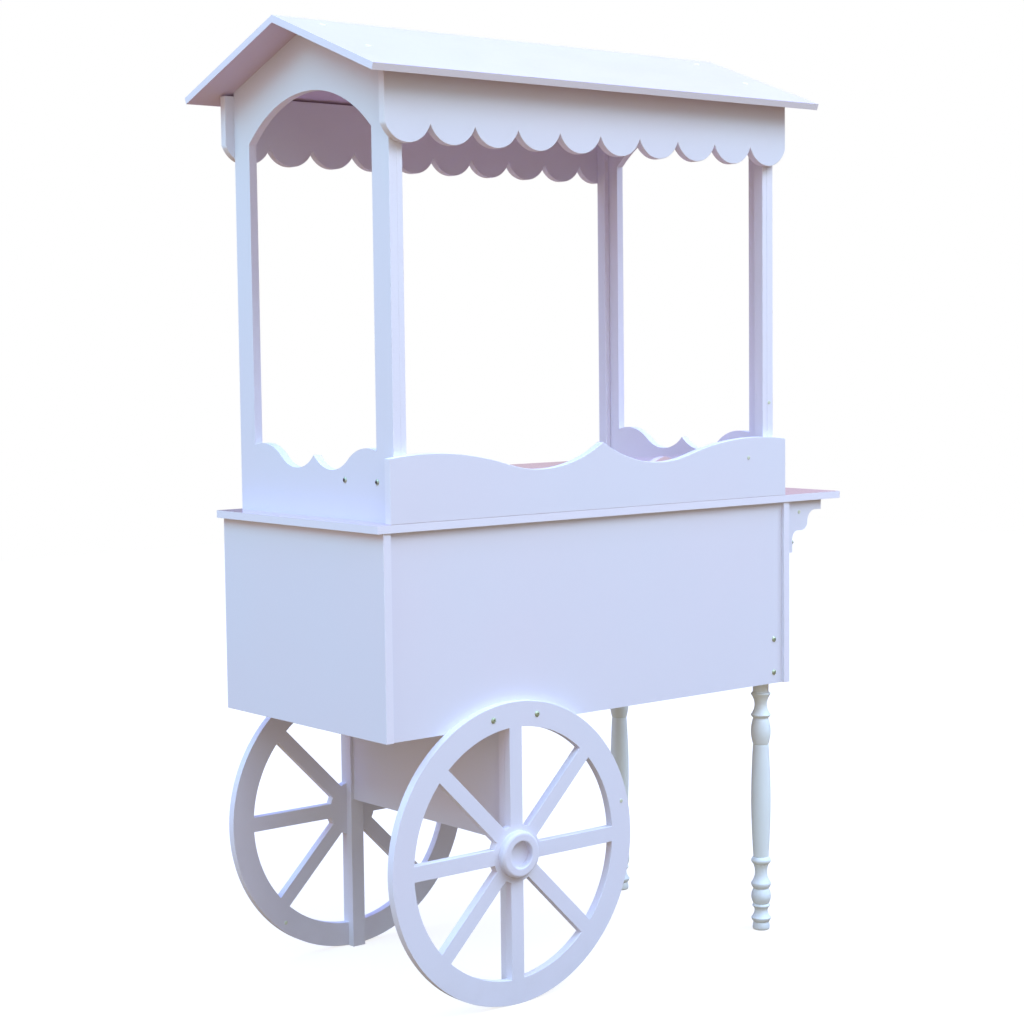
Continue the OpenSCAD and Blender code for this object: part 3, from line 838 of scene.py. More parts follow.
def lathe(bm: Mesh, rings: Rings | Outline, seat: Matrix, segments: int) -> list[bmesh.types.BMFace]:
    """Builds a closed solid from stacked rings, each drawn out of the last, with both ends filled.

    Args:
        bm: Mesh that takes the solid.
        rings: Each ring's radius, or its radius at each angle, and its height.
        seat: Place of the solid.
        segments: Points round each ring.

    Returns:
        The solid's faces.
    """
    step = math.tau / segments
    first, *others = [(r if callable(r) else circle(r), z) for r, z in rings]
    made = bmesh.ops.create_circle(bm, cap_ends=False, radius=1.0, segments=segments)["verts"]
    every = list(made)
    set_ring(made, step, *first)
    edges = list({e for v in made for e in v.link_edges})
    bmesh.ops.contextual_create(bm, geom=edges)
    for ring in others:
        drawn = bmesh.ops.extrude_edge_only(bm, edges=edges)["geom"]
        made = [g for g in drawn if isinstance(g, bmesh.types.BMVert)]
        edges = [g for g in drawn if isinstance(g, bmesh.types.BMEdge) and all(v in made for v in g.verts)]
        every += made
        set_ring(made, step, *ring)
    bmesh.ops.contextual_create(bm, geom=edges)
    bmesh.ops.transform(bm, matrix=seat, verts=every)
    faces = list({f for v in every for f in v.link_faces})
    bmesh.ops.recalc_face_normals(bm, faces=faces)
    return faces


def spin_outline(bm: Mesh, outline: Outline, segments: int, closed: bool = False) -> None:
    """Spins an outline once round the upright axis.

    Args:
        bm: Empty mesh that takes the shape.
        outline: Radii and heights.
        segments: Steps of the spin.
        closed: True where the last point joins the first.
    """
    verts = [bm.verts.new((radius, 0.0, height)) for radius, height in outline]
    following = verts[1:] + verts[:1] if closed else verts[1:]
    edges = [bm.edges.new(pair) for pair in zip(verts, following)]
    bmesh.ops.spin(
        bm, geom=verts + edges, cent=(0, 0, 0), axis=(0, 0, 1), dvec=(0, 0, 0),
        angle=math.tau, steps=segments, use_merge=True,
    )
    bmesh.ops.remove_doubles(bm, verts=bm.verts, dist=WELD)
    bmesh.ops.recalc_face_normals(bm, faces=bm.faces)


def pour(part: Mesh, bm: Mesh) -> None:
    """Adds a part's mesh to another one.

    Args:
        part: The part's mesh, freed afterwards.
        bm: Mesh that takes it.
    """
    mesh = bpy.data.meshes.new("part")
    part.to_mesh(mesh)
    part.free()
    bm.from_mesh(mesh)
    bpy.data.meshes.remove(mesh)


@dataclass
class Workshop:
    """Finishes pieces and sets them on the frame.

    Attributes:
        nodes: The construction nodes' objects, by name.
        finishes: The cart's finishes.
        arris_segments: Faces across a board's arris.
        sheet_arris: Radius of a laminate sheet's edges.
        sheet_segments: Faces across them.
        count: Number of pieces made.
    """

    nodes: dict[str, bpy.types.Object]
    finishes: Finishes = field(default_factory=Finishes)
    arris_segments: int = 3
    sheet_arris: float = 0.0003
    sheet_segments: int = 2
    count: int = 0

    def deliver(self, bm: Mesh, name: str, node: str, slot: Slot, finishes: Iterable[Finish]) -> None:
        """Turns a mesh into a piece that stands for a construction node.

        Args:
            bm: The piece's mesh, freed afterwards.
            name: The piece's name.
            node: The node that it stands for.
            slot: The record's material slot, which is not used.
            finishes: Finishes in the order of the mesh's material numbers.
        """
        mesh = bpy.data.meshes.new(name)
        bm.to_mesh(mesh)
        bm.free()
        for finish in finishes:
            mesh.materials.append(finish.material())
        mesh.shade_smooth()
        mesh.set_sharp_from_angle(angle=SMOOTH_ANGLE)
        piece = bpy.data.objects.new(name, mesh)
        bpy.context.scene.collection.objects.link(piece)
        even = piece.modifiers.new("even_normals", "WEIGHTED_NORMAL")
        even.keep_sharp = True
        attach(piece, BODY)
        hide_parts(node)
        self.count += 1
        LOG.info("%s stands for %s with %d faces", name, node, len(mesh.polygons))

    def board(self, node: str, arris: float, paint: Finish | None = None, cut: Finish | None = None) -> None:
        """Makes a painted board with rounded arrises and paler cut edges.

        Args:
            node: The construction node that the board stands for.
            arris: Radius of its arrises.
            paint: Finish of its faces where it isn't the common one.
            cut: Finish of its edges where it isn't the common one.
        """
        bm = whole_copy(self.nodes[node])
        thin = thickness_axis(bm)
        round_arrises(bm, arris, self.arris_segments)
        for face in bm.faces:
            face.material_index = 0 if abs(face.normal.dot(thin)) > SQUARE_ON else 1
        finishes = (paint or self.finishes.board, cut or self.finishes.edge)
        self.deliver(bm, "painted_" + node, node, Slot.BOARD, finishes)

    def boards(self, nodes: Iterable[str], arris: float) -> None:
        """Makes several painted boards alike."""
        for node in nodes:
            self.board(node, arris)

    def sheet(self, node: str) -> None:
        """Makes a laminate sheet with eased edges.

        Args:
            node: The construction node that the sheet stands for.
        """
        bm = whole_copy(self.nodes[node])
        round_arrises(bm, self.sheet_arris, self.sheet_segments)
        for face in bm.faces:
            face.material_index = 0 if face.normal.z > SQUARE_ON else 1
        finishes = (self.finishes.laminate, self.finishes.edge)
        self.deliver(bm, "glossy_" + node, node, Slot.LAMINATE, finishes)

    def plated(self, node: str) -> None:
        """Gives a construction node that stays in sight its zinc finish.

        Args:
            node: The node's name.
        """
        shown = self.nodes[node]
        shown.data.materials.clear()
        shown.data.materials.append(self.finishes.zinc.material())
        LOG.info("%s stays, zinc-plated", node)


# Sub-assemblies


@dataclass
class SubAssembly:
    """Group of the cart's pieces.

    Attributes:
        shop: The workshop that makes them.
    """

    shop: Workshop


@dataclass
class Cabinet(SubAssembly):
    """Boxed cabinet, its counter and the brackets under the overhang.

    Attributes:
        boards: Its painted boards.
        arris: Radius of their arrises.
    """

    boards: tuple[str, ...] = (
        "cabinet_left_end", "cabinet_right_end", "cabinet_front_panel", "rear_lower_rail", "rear_upper_rail",
        "cabinet_floor", "floor_cleats", "counter_cleats", "corner_cleats", "counter_board",
        "front_bracket", "rear_bracket",
    )
    arris: float = 0.001

    def build(self) -> None:
        """Makes the cabinet's boards and the counter's laminate."""
        self.shop.boards(self.boards, self.arris)
        self.shop.sheet("counter_laminate")


@dataclass
class ServingTop(SubAssembly):
    """End frames, corner battens, wavy front board and display ledge.

    Attributes:
        boards: Its painted boards.
        arris: Radius of their arrises.
    """

    boards: tuple[str, ...] = (
        "left_end_frame", "right_end_frame", "batten_left_front", "batten_left_rear",
        "batten_right_front", "batten_right_rear", "wavy_front_board", "ledge_board",
    )
    arris: float = 0.0012

    def build(self) -> None:
        """Makes the boards and the ledge's laminate."""
        self.shop.boards(self.boards, self.arris)
        self.shop.sheet("ledge_laminate")


@dataclass
class Canopy(SubAssembly):
    """Scalloped valances and the gable roof with its plugs.

    Attributes:
        valances: The scalloped boards.
        roof: The front and the rear roof board.
        arris: Radius of all these boards' arrises.
        plug_radius: Radius of a plug.
        plug_edge: Rounding of a plug's edge.
        plug_rim: Width of the rim round its shallow dish.
        plug_slope: Width of the dish's sloping side.
        plug_dish: Depth of the dish.
        plug_segments: Points round a plug.
    """

    valances: tuple[str, ...] = ("front_valance", "rear_valance")
    roof: tuple[str, str] = ("roof_front_board", "roof_rear_board")
    arris: float = 0.0012
    plug_radius: float = 0.006
    plug_edge: float = 0.0005
    plug_rim: float = 0.0015
    plug_slope: float = 0.001
    plug_dish: float = 0.0002
    plug_segments: int = 40

    def build(self) -> None:
        """Makes the boards and the plugs that cover the roof's screws."""
        self.shop.boards(self.valances, self.arris)
        for node in self.roof:
            # the roof boards take the darker roof copies of the paint, painted shade against the light from
            # above
            self.shop.board(node, self.arris, self.shop.finishes.roof, self.shop.finishes.roof_shaded_edge)
        front, rear = (self.outward(self.shop.nodes[node]) for node in self.roof)
        bm = bmesh.new()
        for solid in solids_of(self.shop.nodes["roof_plugs"]):
            way = front if solid.middle.y < 0 else rear
            lathe(bm, self.plug_rings(solid, way), seat_along(solid.middle, way), self.plug_segments)
        self.shop.deliver(bm, "round_roof_plugs", "roof_plugs", Slot.PLUG, [self.shop.finishes.plug])

    @staticmethod
    def outward(board: bpy.types.Object) -> Vector:
        """Finds the direction square to a roof board.

        Args:
            board: The board's construction node.

        Returns:
            A unit vector that looks up.
        """
        bm = whole_copy(board)
        way = thickness_axis(bm)
        bm.free()
        return way

    def plug_rings(self, solid: Solid, outward: Vector) -> Outline:
        """Works out the rings of one plug about its middle.

        Args:
            solid: The plug's solid in the construction.
            outward: Direction square to the roof.

        Returns:
            Radii and heights from the roof outwards.
        """
        tilt = math.hypot(outward.x, outward.y)
        half = (solid.high.z - solid.low.z - 2 * self.plug_radius * tilt) / outward.z / 2
        radius, rim, dish = self.plug_radius, self.plug_rim, self.plug_dish
        return [
            (radius, -half), *eased_corner(radius, half, self.plug_edge, 1), (radius - rim, half),
            (radius - rim - self.plug_slope, half - dish), (radius / 3, half - 1.3 * dish),
        ]


@dataclass
class HubRing(SubAssembly):
    """Thick ring on a wheel's middle disc.

    Attributes:
        bore: Radius of its opening.
        outer_round: Rounding of its outer front edge.
        inner_round: Rounding of its bore's front edge.
        round_segments: Faces across each rounding.
        segments: Steps round the ring.
    """

    bore: float = 0.028
    outer_round: float = 0.007
    inner_round: float = 0.002
    round_segments: int = 6
    segments: int = 96

    def build(self, node: str, facing: Facing) -> None:
        """Turns the ring and rounds its front edges.

        Args:
            node: The construction node that it stands for.
            facing: The way its face looks.
        """
        low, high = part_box(node)
        radius, depth = (high.x - low.x) / 2, high.y - low.y
        bm = bmesh.new()
        outline = [(self.bore, 0.0), (radius, 0.0), (radius, depth), (self.bore, depth)]
        spin_outline(bm, outline, self.segments, closed=True)
        for reach, rounding in ((radius, self.outer_round), (self.bore, self.inner_round)):
            rim = [e for e in bm.edges if self.on_rim(e, reach, depth)]
            round_edges(bm, rim, rounding, self.round_segments)
        back = high.y if facing is Facing.FRONT else low.y
        seat = facing.seat(Vector(((low.x + high.x) / 2, back, (low.z + high.z) / 2)))
        bmesh.ops.transform(bm, matrix=seat, verts=bm.verts)
        self.shop.deliver(bm, "turned_" + node, node, Slot.BOARD, [self.shop.finishes.board])

    @staticmethod
    def on_rim(edge: bmesh.types.BMEdge, reach: float, height: float) -> bool:
        """True for an edge that runs round the axis at a radius and height."""
        near = 10 * WELD
        return all(abs(v.co.xy.length - reach) < near and abs(v.co.z - height) < near for v in edge.verts)


@dataclass
class RunningGear(SubAssembly):
    """Two show wheels, their hub rings and the posts and panel that stand behind them.

    Attributes:
        boards: The posts and the panel between them.
        arris: Radius of their arrises.
        wheels: The wheels.
        wheel_arris: Radius of the wheels' arrises.
        rings: The ring on each wheel, and the way that it looks.
    """

    boards: tuple[str, ...] = ("front_wheel_post", "rear_wheel_post", "cross_panel")
    arris: float = 0.001
    wheels: tuple[str, ...] = ("front_wheel", "rear_wheel")
    wheel_arris: float = 0.0015
    rings: tuple[tuple[str, Facing], ...] = (("front_hub_ring", Facing.FRONT), ("rear_hub_ring", Facing.BACK))

    def build(self) -> None:
        """Makes the wheels, rings, posts and panel."""
        self.shop.boards(self.boards, self.arris)
        self.shop.boards(self.wheels, self.wheel_arris)
        for node, facing in self.rings:
            HubRing(self.shop).build(node, facing)


@dataclass(frozen=True)
class Turn:
    """One step of a turned profile.

    Attributes:
        drop: Height of the step.
        radius: Radius at its lower end.
        swell: How far it swells, or hollows where negative, between its ends.
        quirk: True where a fine groove closes the step.
    """

    drop: float
    radius: float
    swell: float = 0.0
    quirk: bool = False


@dataclass
class TurnedLegs(SubAssembly):
    """Two turned legs with square heads.

    Attributes:
        neck: Radius at the leg's top.
        upper: Steps above the shaft.
        lower: Steps below the shaft.
        shaft_radius: Radius at the shaft's ends.
        shaft_swell: How far the shaft swells.
        quirk_depth: Depth of the fine grooves.
        quirk_height: Height of the fine grooves.
        foot_arris: Rounding of the foot.
        head_arris: Rounding of the square head's edges.
        head_segments: Faces across that rounding.
        cuts: Points down each step.
        segments: Steps round a leg.
    """

    neck: float = 0.018
    upper: tuple[Turn, ...] = (
        Turn(0.024, 0.018), Turn(0.005, 0.0225, 0.0006), Turn(0.023, 0.014, -0.0018),
        Turn(0.025, 0.0225, -0.0024), Turn(0.007, 0.0175, 0.0009, True), Turn(0.062, 0.0175, 0.005, True),
        Turn(0.001, 0.018),
    )
    lower: tuple[Turn, ...] = (
        Turn(0.018, 0.0175, 0.005, True), Turn(0.018, 0.014, -0.001), Turn(0.025, 0.0225, -0.0024),
        Turn(0.013, 0.0175, 0.0018, True), Turn(0.036, 0.0175, 0.005, True),
        Turn(0.008, 0.0175, 0.0026, True), Turn(0.007, 0.015, -0.0006), Turn(0.017, 0.0225, -0.0018),
        Turn(0.010, 0.0175, 0.001, True), Turn(0.018, 0.019, 0.0012),
    )
    shaft_radius: float = 0.0175
    shaft_swell: float = 0.0045
    quirk_depth: float = 0.0009
    quirk_height: float = 0.0016
    foot_arris: float = 0.003
    head_arris: float = 0.003
    head_segments: int = 4
    cuts: int = 14
    segments: int = 72

    def build(self) -> None:
        """Makes both legs."""
        for node in ("front_leg", "rear_leg"):
            self.turn_leg(node)

    def profile(self, top: float) -> Outline:
        """Works out the turned part's outline.

        Args:
            top: Height of the cabinet's underside.

        Returns:
            Radii and heights from the top down to the floor, with both ends on the axis.
        """
        shaft = top - sum(t.drop for t in self.upper + self.lower)
        steps = (*self.upper, Turn(shaft, self.shaft_radius, self.shaft_swell, True), *self.lower)
        radius, height = self.neck, top
        points = [(radius, height)]
        for step in steps:
            for k in range(1, self.cuts + 1):
                t = k / self.cuts
                r = radius + (step.radius - radius) * t + step.swell * math.sin(math.pi * t)
                points.append((r, height - step.drop * t))
            radius, height = step.radius, height - step.drop
            if step.quirk:
                points = self.grooved(points, height)
        radius, height = points[-1]
        body = [p for p in points if p[1] > height + self.foot_arris]
        return [(0.0, top), *body, *eased_corner(radius, height, self.foot_arris, -1), (0.0, height)]

    def grooved(self, points: Outline, height: float) -> Outline:
        """Ends a profile in a fine groove.

        Args:
            points: The profile so far.
            height: Height of the groove's middle.

        Returns:
            The profile with its last points replaced by the groove's upper half.
        """
        kept = [p for p in points if p[1] > height + self.quirk_height / 2]
        radius = points[-1][0]
        return [*kept, (radius, height + self.quirk_height / 2), (radius - self.quirk_depth, height)]

    def turn_leg(self, node: str) -> None:
        """Turns one leg and sets its square head on it.

        Args:
            node: The construction node that it stands for.
        """
        low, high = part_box(node)
        middle = (low + high) / 2
        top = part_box("cabinet_front_panel")[0].z
        bm = bmesh.new()
        spin_outline(bm, self.profile(top), self.segments)
        bmesh.ops.translate(bm, vec=(middle.x, middle.y, 0.0), verts=bm.verts)
        size = Vector((high.x - low.x, high.y - low.y, high.z - top))
        place = Matrix.Translation((middle.x, middle.y, top + size.z / 2)) @ Matrix.Diagonal((*size, 1.0))
        head = bmesh.new()
        bmesh.ops.create_cube(head, size=1.0, matrix=place)
        round_arrises(head, self.head_arris, self.head_segments)
        pour(head, bm)
        self.shop.deliver(bm, "turned_" + node, node, Slot.LEG, [self.shop.finishes.leg])


@dataclass
class Fasteners(SubAssembly):
    """Domed socket bolts, nuts, cap-head screws and screw caps.

    Attributes:
        outer_bolts: The bolts at the front and at the back, and the way that their heads look.
        nuts: The hexagon nuts.
        plated: The fasteners that stay as they are in the construction.
        segments: Points round each fastener.
        head_radius: Radius of a bolt's domed head.
        head_height: Height of a bolt's domed head.
        dome_rings: Rings of the dome, from its rim to its socket.
        dome_stop: Radius of the dome's last ring, as a share of the socket's width.
        crown_radius: Radius of a head's crown, which has a plating of its own: paler than the painted-shade
            rim on the outer bolts, and itself painted shade on the ledge bolts.
        bearing_inset: How far a domed head's bearing face is smaller than the head.
        edge_ease: Easing of a head's lower edge.
        shank_radius: Radius of a bolt's shank.
        tip_chamfer: Chamfer of a shank's tip.
        socket_flats: Width of a hexagon socket across flats.
        socket_depth: Depth of the socket.
        socket_taper: Width at the socket's floor, as a share of its width.
        lip_drop: How far the socket's mouth lies under the head's face.
        mouth: Width of a bolt socket's eased mouth, as a share of the socket's, and its depth.
        drill_tip: Radius at the drill's point as a share of the socket's width, and its depth.
        nut_share: Share of the construction's width across flats that a nut keeps.
        nut_chamfer: Chamfer of a nut.
        nut_clearance: Room between a nut's bore and the shank.
        screw_radius: Radius of a bracket screw's shank.
        screw_tip: Radius of its point, as a share of the shank's.
        cap_head_radius: Radius of its cylindrical head.
        cap_head_height: Height of that head.
        cap_head_ease: Easing of that head's upper edge.
        cap_radius: Radius of a screw cap.
        cap_height: Height of a screw cap.
        cap_dome: The cap's side, as shares of its radius and height.
        cap_cross: Reach and waist of the pressed cross at its mouth and its floor, as shares of the radius.
        cap_floor: Height of the cross's floor, as a share of the cap's.
        cap_pit: Radius and height of the pit in the floor's middle, as shares of the cap's.
    """

    outer_bolts: tuple[tuple[str, Facing], ...] = (
        ("front_wheel_bolts", Facing.FRONT), ("rear_wheel_bolts", Facing.BACK),
        ("front_leg_bolts", Facing.FRONT), ("rear_leg_bolts", Facing.BACK),
    )
    nuts: tuple[str, ...] = ("wheel_bolt_nuts", "leg_bolt_nuts")
    plated: tuple[str, ...] = ("frame_screws", "post_screws", "roof_screws", "ledge_barrel_nuts")
    segments: int = 36
    head_radius: float = 0.0065
    head_height: float = 0.004
    dome_rings: int = 7
    dome_stop: float = 0.72
    crown_radius: float = 0.0038
    bearing_inset: float = 0.0003
    edge_ease: float = 0.0002
    shank_radius: float = 0.003
    tip_chamfer: float = 0.0006
    socket_flats: float = 0.0042
    socket_depth: float = 0.0022
    socket_taper: float = 0.94
    lip_drop: float = 0.0001
    mouth: Span = (0.96, 0.0004)
    drill_tip: Span = (0.1, 0.0006)
    nut_share: float = 0.995
    nut_chamfer: float = 0.0006
    nut_clearance: float = 0.0002
    screw_radius: float = 0.002
    screw_tip: float = 0.4
    cap_head_radius: float = 0.0045
    cap_head_height: float = 0.006
    cap_head_ease: float = 0.0005
    cap_radius: float = 0.004
    cap_height: float = 0.0012
    cap_dome: tuple[Span, ...] = ((1.0, 0.0), (1.0, 0.45), (0.94, 0.75), (0.8, 0.95), (0.62, 1.0))
    cap_cross: tuple[Span, Span] = ((0.46, 0.16), (0.4, 0.13))
    cap_floor: float = 0.45
    cap_pit: Span = (0.08, 0.4)

    def build(self) -> None:
        """Makes every fastener that shows and plates the hidden ones."""
        finishes = self.shop.finishes
        for node, facing in self.outer_bolts:
            # the outer bolts' rims and shanks take the darker zinc copy, painted shade round a paler crown
            self.bolt_set(node, (finishes.shaded_zinc, finishes.zinc), lambda solid, way=facing: way)
        middle = sum(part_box("ledge_board"), Vector()).x / 2
        # the ledge bolts' crowns and sockets take the darkest plate, painted shade in the socket
        self.bolt_set(
            "ledge_bolts", (finishes.zinc, finishes.socket_shade),
            lambda solid: Facing.LEFT if solid.middle.x < middle else Facing.RIGHT,
        )
        for node in self.nuts:
            self.nut_set(node)
        self.tail_screws()
        self.caps()
        for node in self.plated:
            self.shop.plated(node)

    @staticmethod
    def seated(solid: Solid, facing: Facing, head: float | None = None) -> tuple[Matrix, float]:
        """Finds where a fastener's head seats.

        Args:
            solid: The fastener's solid.
            facing: The way that its head looks.
            head: Height of its head, or None where it is head all through.

        Returns:
            The seat's place, and the fastener's length.
        """
        way = Vector(facing.value)
        length = abs((solid.high - solid.low).dot(way))
        crown = solid.middle + way * (length / 2)
        return facing.seat(crown - way * (length if head is None else head)), length

    def dome(self) -> Outline:
        """Works out a bolt head's dome, from its rim to its socket.

        Returns:
            Radii and heights.
        """
        radius, height, inner = self.head_radius, self.head_height, self.socket_flats * self.dome_stop
        ball = (radius * radius + height * height) / (2 * height)
        radii = [radius + (inner - radius) * k / self.dome_rings for k in range(1, self.dome_rings + 1)]
        return [(r, math.sqrt(ball * ball - r * r) - (ball - height)) for r in radii]

    def socket(self, face: float, eased: bool) -> Rings:
        """Works out a hexagon socket.

        Args:
            face: Height of the head's face round it.
            eased: True where its mouth is eased.

        Returns:
            Its rings, from the mouth inwards.
        """
        flats, floor = self.socket_flats, face - self.socket_depth
        mouth = [(hexagon(flats * self.mouth[0]), face - self.mouth[1])] if eased else []
        return [
            (hexagon(flats), face - self.lip_drop), *mouth, (hexagon(flats * self.socket_taper), floor),
            (flats * self.drill_tip[0], floor - self.drill_tip[1]),
        ]

    def bolt_set(
        self, node: str, plating: tuple[Finish, Finish], facing_of: Callable[[Solid], Facing]
    ) -> None:
        """Makes a set of socket bolts.

        Args:
            node: The construction node that they stand for.
            plating: Finish of each bolt's rim and shank, and of its crown and socket; the darker of the two
                is painted shade.
            facing_of: Gives the way that each bolt's head looks.
        """
        dome = self.dome()
        bm = bmesh.new()
        for solid in solids_of(self.shop.nodes[node]):
            seat, length = self.seated(solid, facing_of(solid), self.head_height)
            tip = self.head_height - length
            rings = [
                (self.shank_radius - self.tip_chamfer, tip),
                (self.shank_radius, tip + self.tip_chamfer),
                (self.shank_radius, 0.0),
                (self.head_radius - self.bearing_inset, 0.0),
                (self.head_radius, self.edge_ease),
                *dome,
                *self.socket(dome[-1][1], eased=True),
            ]
            back = seat.inverted()
            for face in lathe(bm, rings, seat, self.segments):
                spot = back @ face.calc_center_median()
                face.material_index = int(spot.z > 0 and spot.xy.length < self.crown_radius)
        self.shop.deliver(bm, "domed_" + node, node, Slot.STEEL, plating)

    def nut_set(self, node: str) -> None:
        """Makes a set of hexagon nuts with chamfered corners.

        Args:
            node: The construction node that they stand for.
        """
        bm = bmesh.new()
        for solid in solids_of(self.shop.nodes[node]):
            facing = Facing.BACK if solid.middle.y < 0 else Facing.FRONT
            seat, length = self.seated(solid, facing)
            size = solid.high - solid.low
            flats = min(size.x, size.z) * self.nut_share
            corner, chamfer, bore = hexagon(flats), self.nut_chamfer, self.shank_radius + self.nut_clearance
            rings = [
                (bore, chamfer), (bore + chamfer, 0.0), (flats / 2 - chamfer, 0.0),
                (corner, chamfer), (corner, length - chamfer), (flats / 2 - chamfer, length),
                (bore + chamfer, length), (bore, length - chamfer), (bore, chamfer),
            ]
            self.bored(bm, rings, seat)
        self.shop.deliver(bm, "chamfered_" + node, node, Slot.STEEL, [self.shop.finishes.zinc])

    def bored(self, bm: Mesh, rings: Rings, seat: Matrix) -> None:
        """Builds a solid with a bore, whose last ring closes on its first.

        Args:
            bm: Mesh that takes the solid.
            rings: Radii and heights, the last as the first.
            seat: Place of the solid.
        """
        part = bmesh.new()
        lathe(part, rings, seat, self.segments)
        ends = [f for f in part.faces if len(f.verts) == self.segments]
        bmesh.ops.delete(part, geom=ends, context="FACES_ONLY")
        bmesh.ops.remove_doubles(part, verts=part.verts, dist=WELD)
        bmesh.ops.recalc_face_normals(part, faces=part.faces)
        pour(part, bm)

    def tail_screws(self) -> None:
        """Makes the two cap-head screws in the brackets' tails."""
        node = "bracket_screws"
        radius, height, ease = self.cap_head_radius, self.cap_head_height, self.cap_head_ease
        bm = bmesh.new()
        for solid in solids_of(self.shop.nodes[node]):
            seat, length = self.seated(solid, Facing.RIGHT, height)
            rings = [
                (self.screw_radius * self.screw_tip, height - length),
                (self.screw_radius, height - length + self.screw_radius),
                (self.screw_radius, 0.0),
                (radius - self.edge_ease, 0.0),
                (radius, self.edge_ease),
                (radius, height - ease),
                (radius - ease, height),
                *self.socket(height, eased=False),
            ]
            lathe(bm, rings, seat, self.segments)
        self.shop.deliver(bm, "cap_head_" + node, node, Slot.STEEL, [self.shop.finishes.zinc])

    def caps(self) -> None:
        """Makes the small caps over screw heads, with a pressed cross."""
        radius, height = self.cap_radius, self.cap_height
        mouth, floor = (cross(reach * radius, waist * radius) for reach, waist in self.cap_cross)
        rings = [(across * radius, up * height) for across, up in self.cap_dome]
        rings += [
            (mouth, height - self.lip_drop / 2), (floor, self.cap_floor * height),
            (self.cap_pit[0] * radius, self.cap_pit[1] * height),
        ]
        bm = bmesh.new()
        for solid in solids_of(self.shop.nodes["screw_caps"]):
            seat, _ = self.seated(solid, self.cap_facing(solid))
            lathe(bm, rings, seat, self.segments)
        self.shop.deliver(bm, "pressed_screw_caps", "screw_caps", Slot.CAP, [self.shop.finishes.cap])

    @staticmethod
    def cap_facing(solid: Solid) -> Facing:
        """Finds the way that a cap looks: backwards on the rear bracket, and forwards everywhere else.

        Args:
            solid: The cap's solid.

        Returns:
            The way it looks.
        """
        low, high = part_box("rear_bracket")
        behind = solid.middle.y > high.y - WELD and solid.middle.x > low.x
        return Facing.BACK if behind else Facing.FRONT


# Studio


@dataclass(frozen=True)
class Softbox:
    """One large soft light that looks at the cart.

    Attributes:
        name: The light's name.
        turn: How far it stands round from the front towards the right, in degrees.
        rise: How high it stands, in degrees above the aim.
        distance: How far it is from the aim.
        size: Side of its square face.
        power: Its colour times its power in watts.
        aim: What it looks at.
        sheen_only: True for a card that shows only as a reflection.
    """

    name: str
    turn: float
    rise: float
    distance: float
    size: float
    power: Colour
    aim: Point = (0.0, 0.0, 1.0)
    sheen_only: bool = False

    def hang(self) -> None:
        """Adds the light to the scene."""
        strongest = max(self.power)
        light = bpy.data.lights.new(self.name, "AREA")
        light.shape = "SQUARE"
        light.size = self.size
        light.energy = strongest
        light.color = tuple(v / strongest for v in self.power)
        turn, rise = math.radians(self.turn), math.radians(self.rise)
        way = Vector((math.sin(turn) * math.cos(rise), -math.cos(turn) * math.cos(rise), math.sin(rise)))
        lamp = bpy.data.objects.new(self.name, light)
        lamp.location = Vector(self.aim) + way * self.distance
        lamp.rotation_euler = (-way).to_track_quat("-Z", "Y").to_euler()
        lamp.visible_diffuse = not self.sheen_only
        lamp.visible_camera = False
        bpy.context.scene.collection.objects.link(lamp)


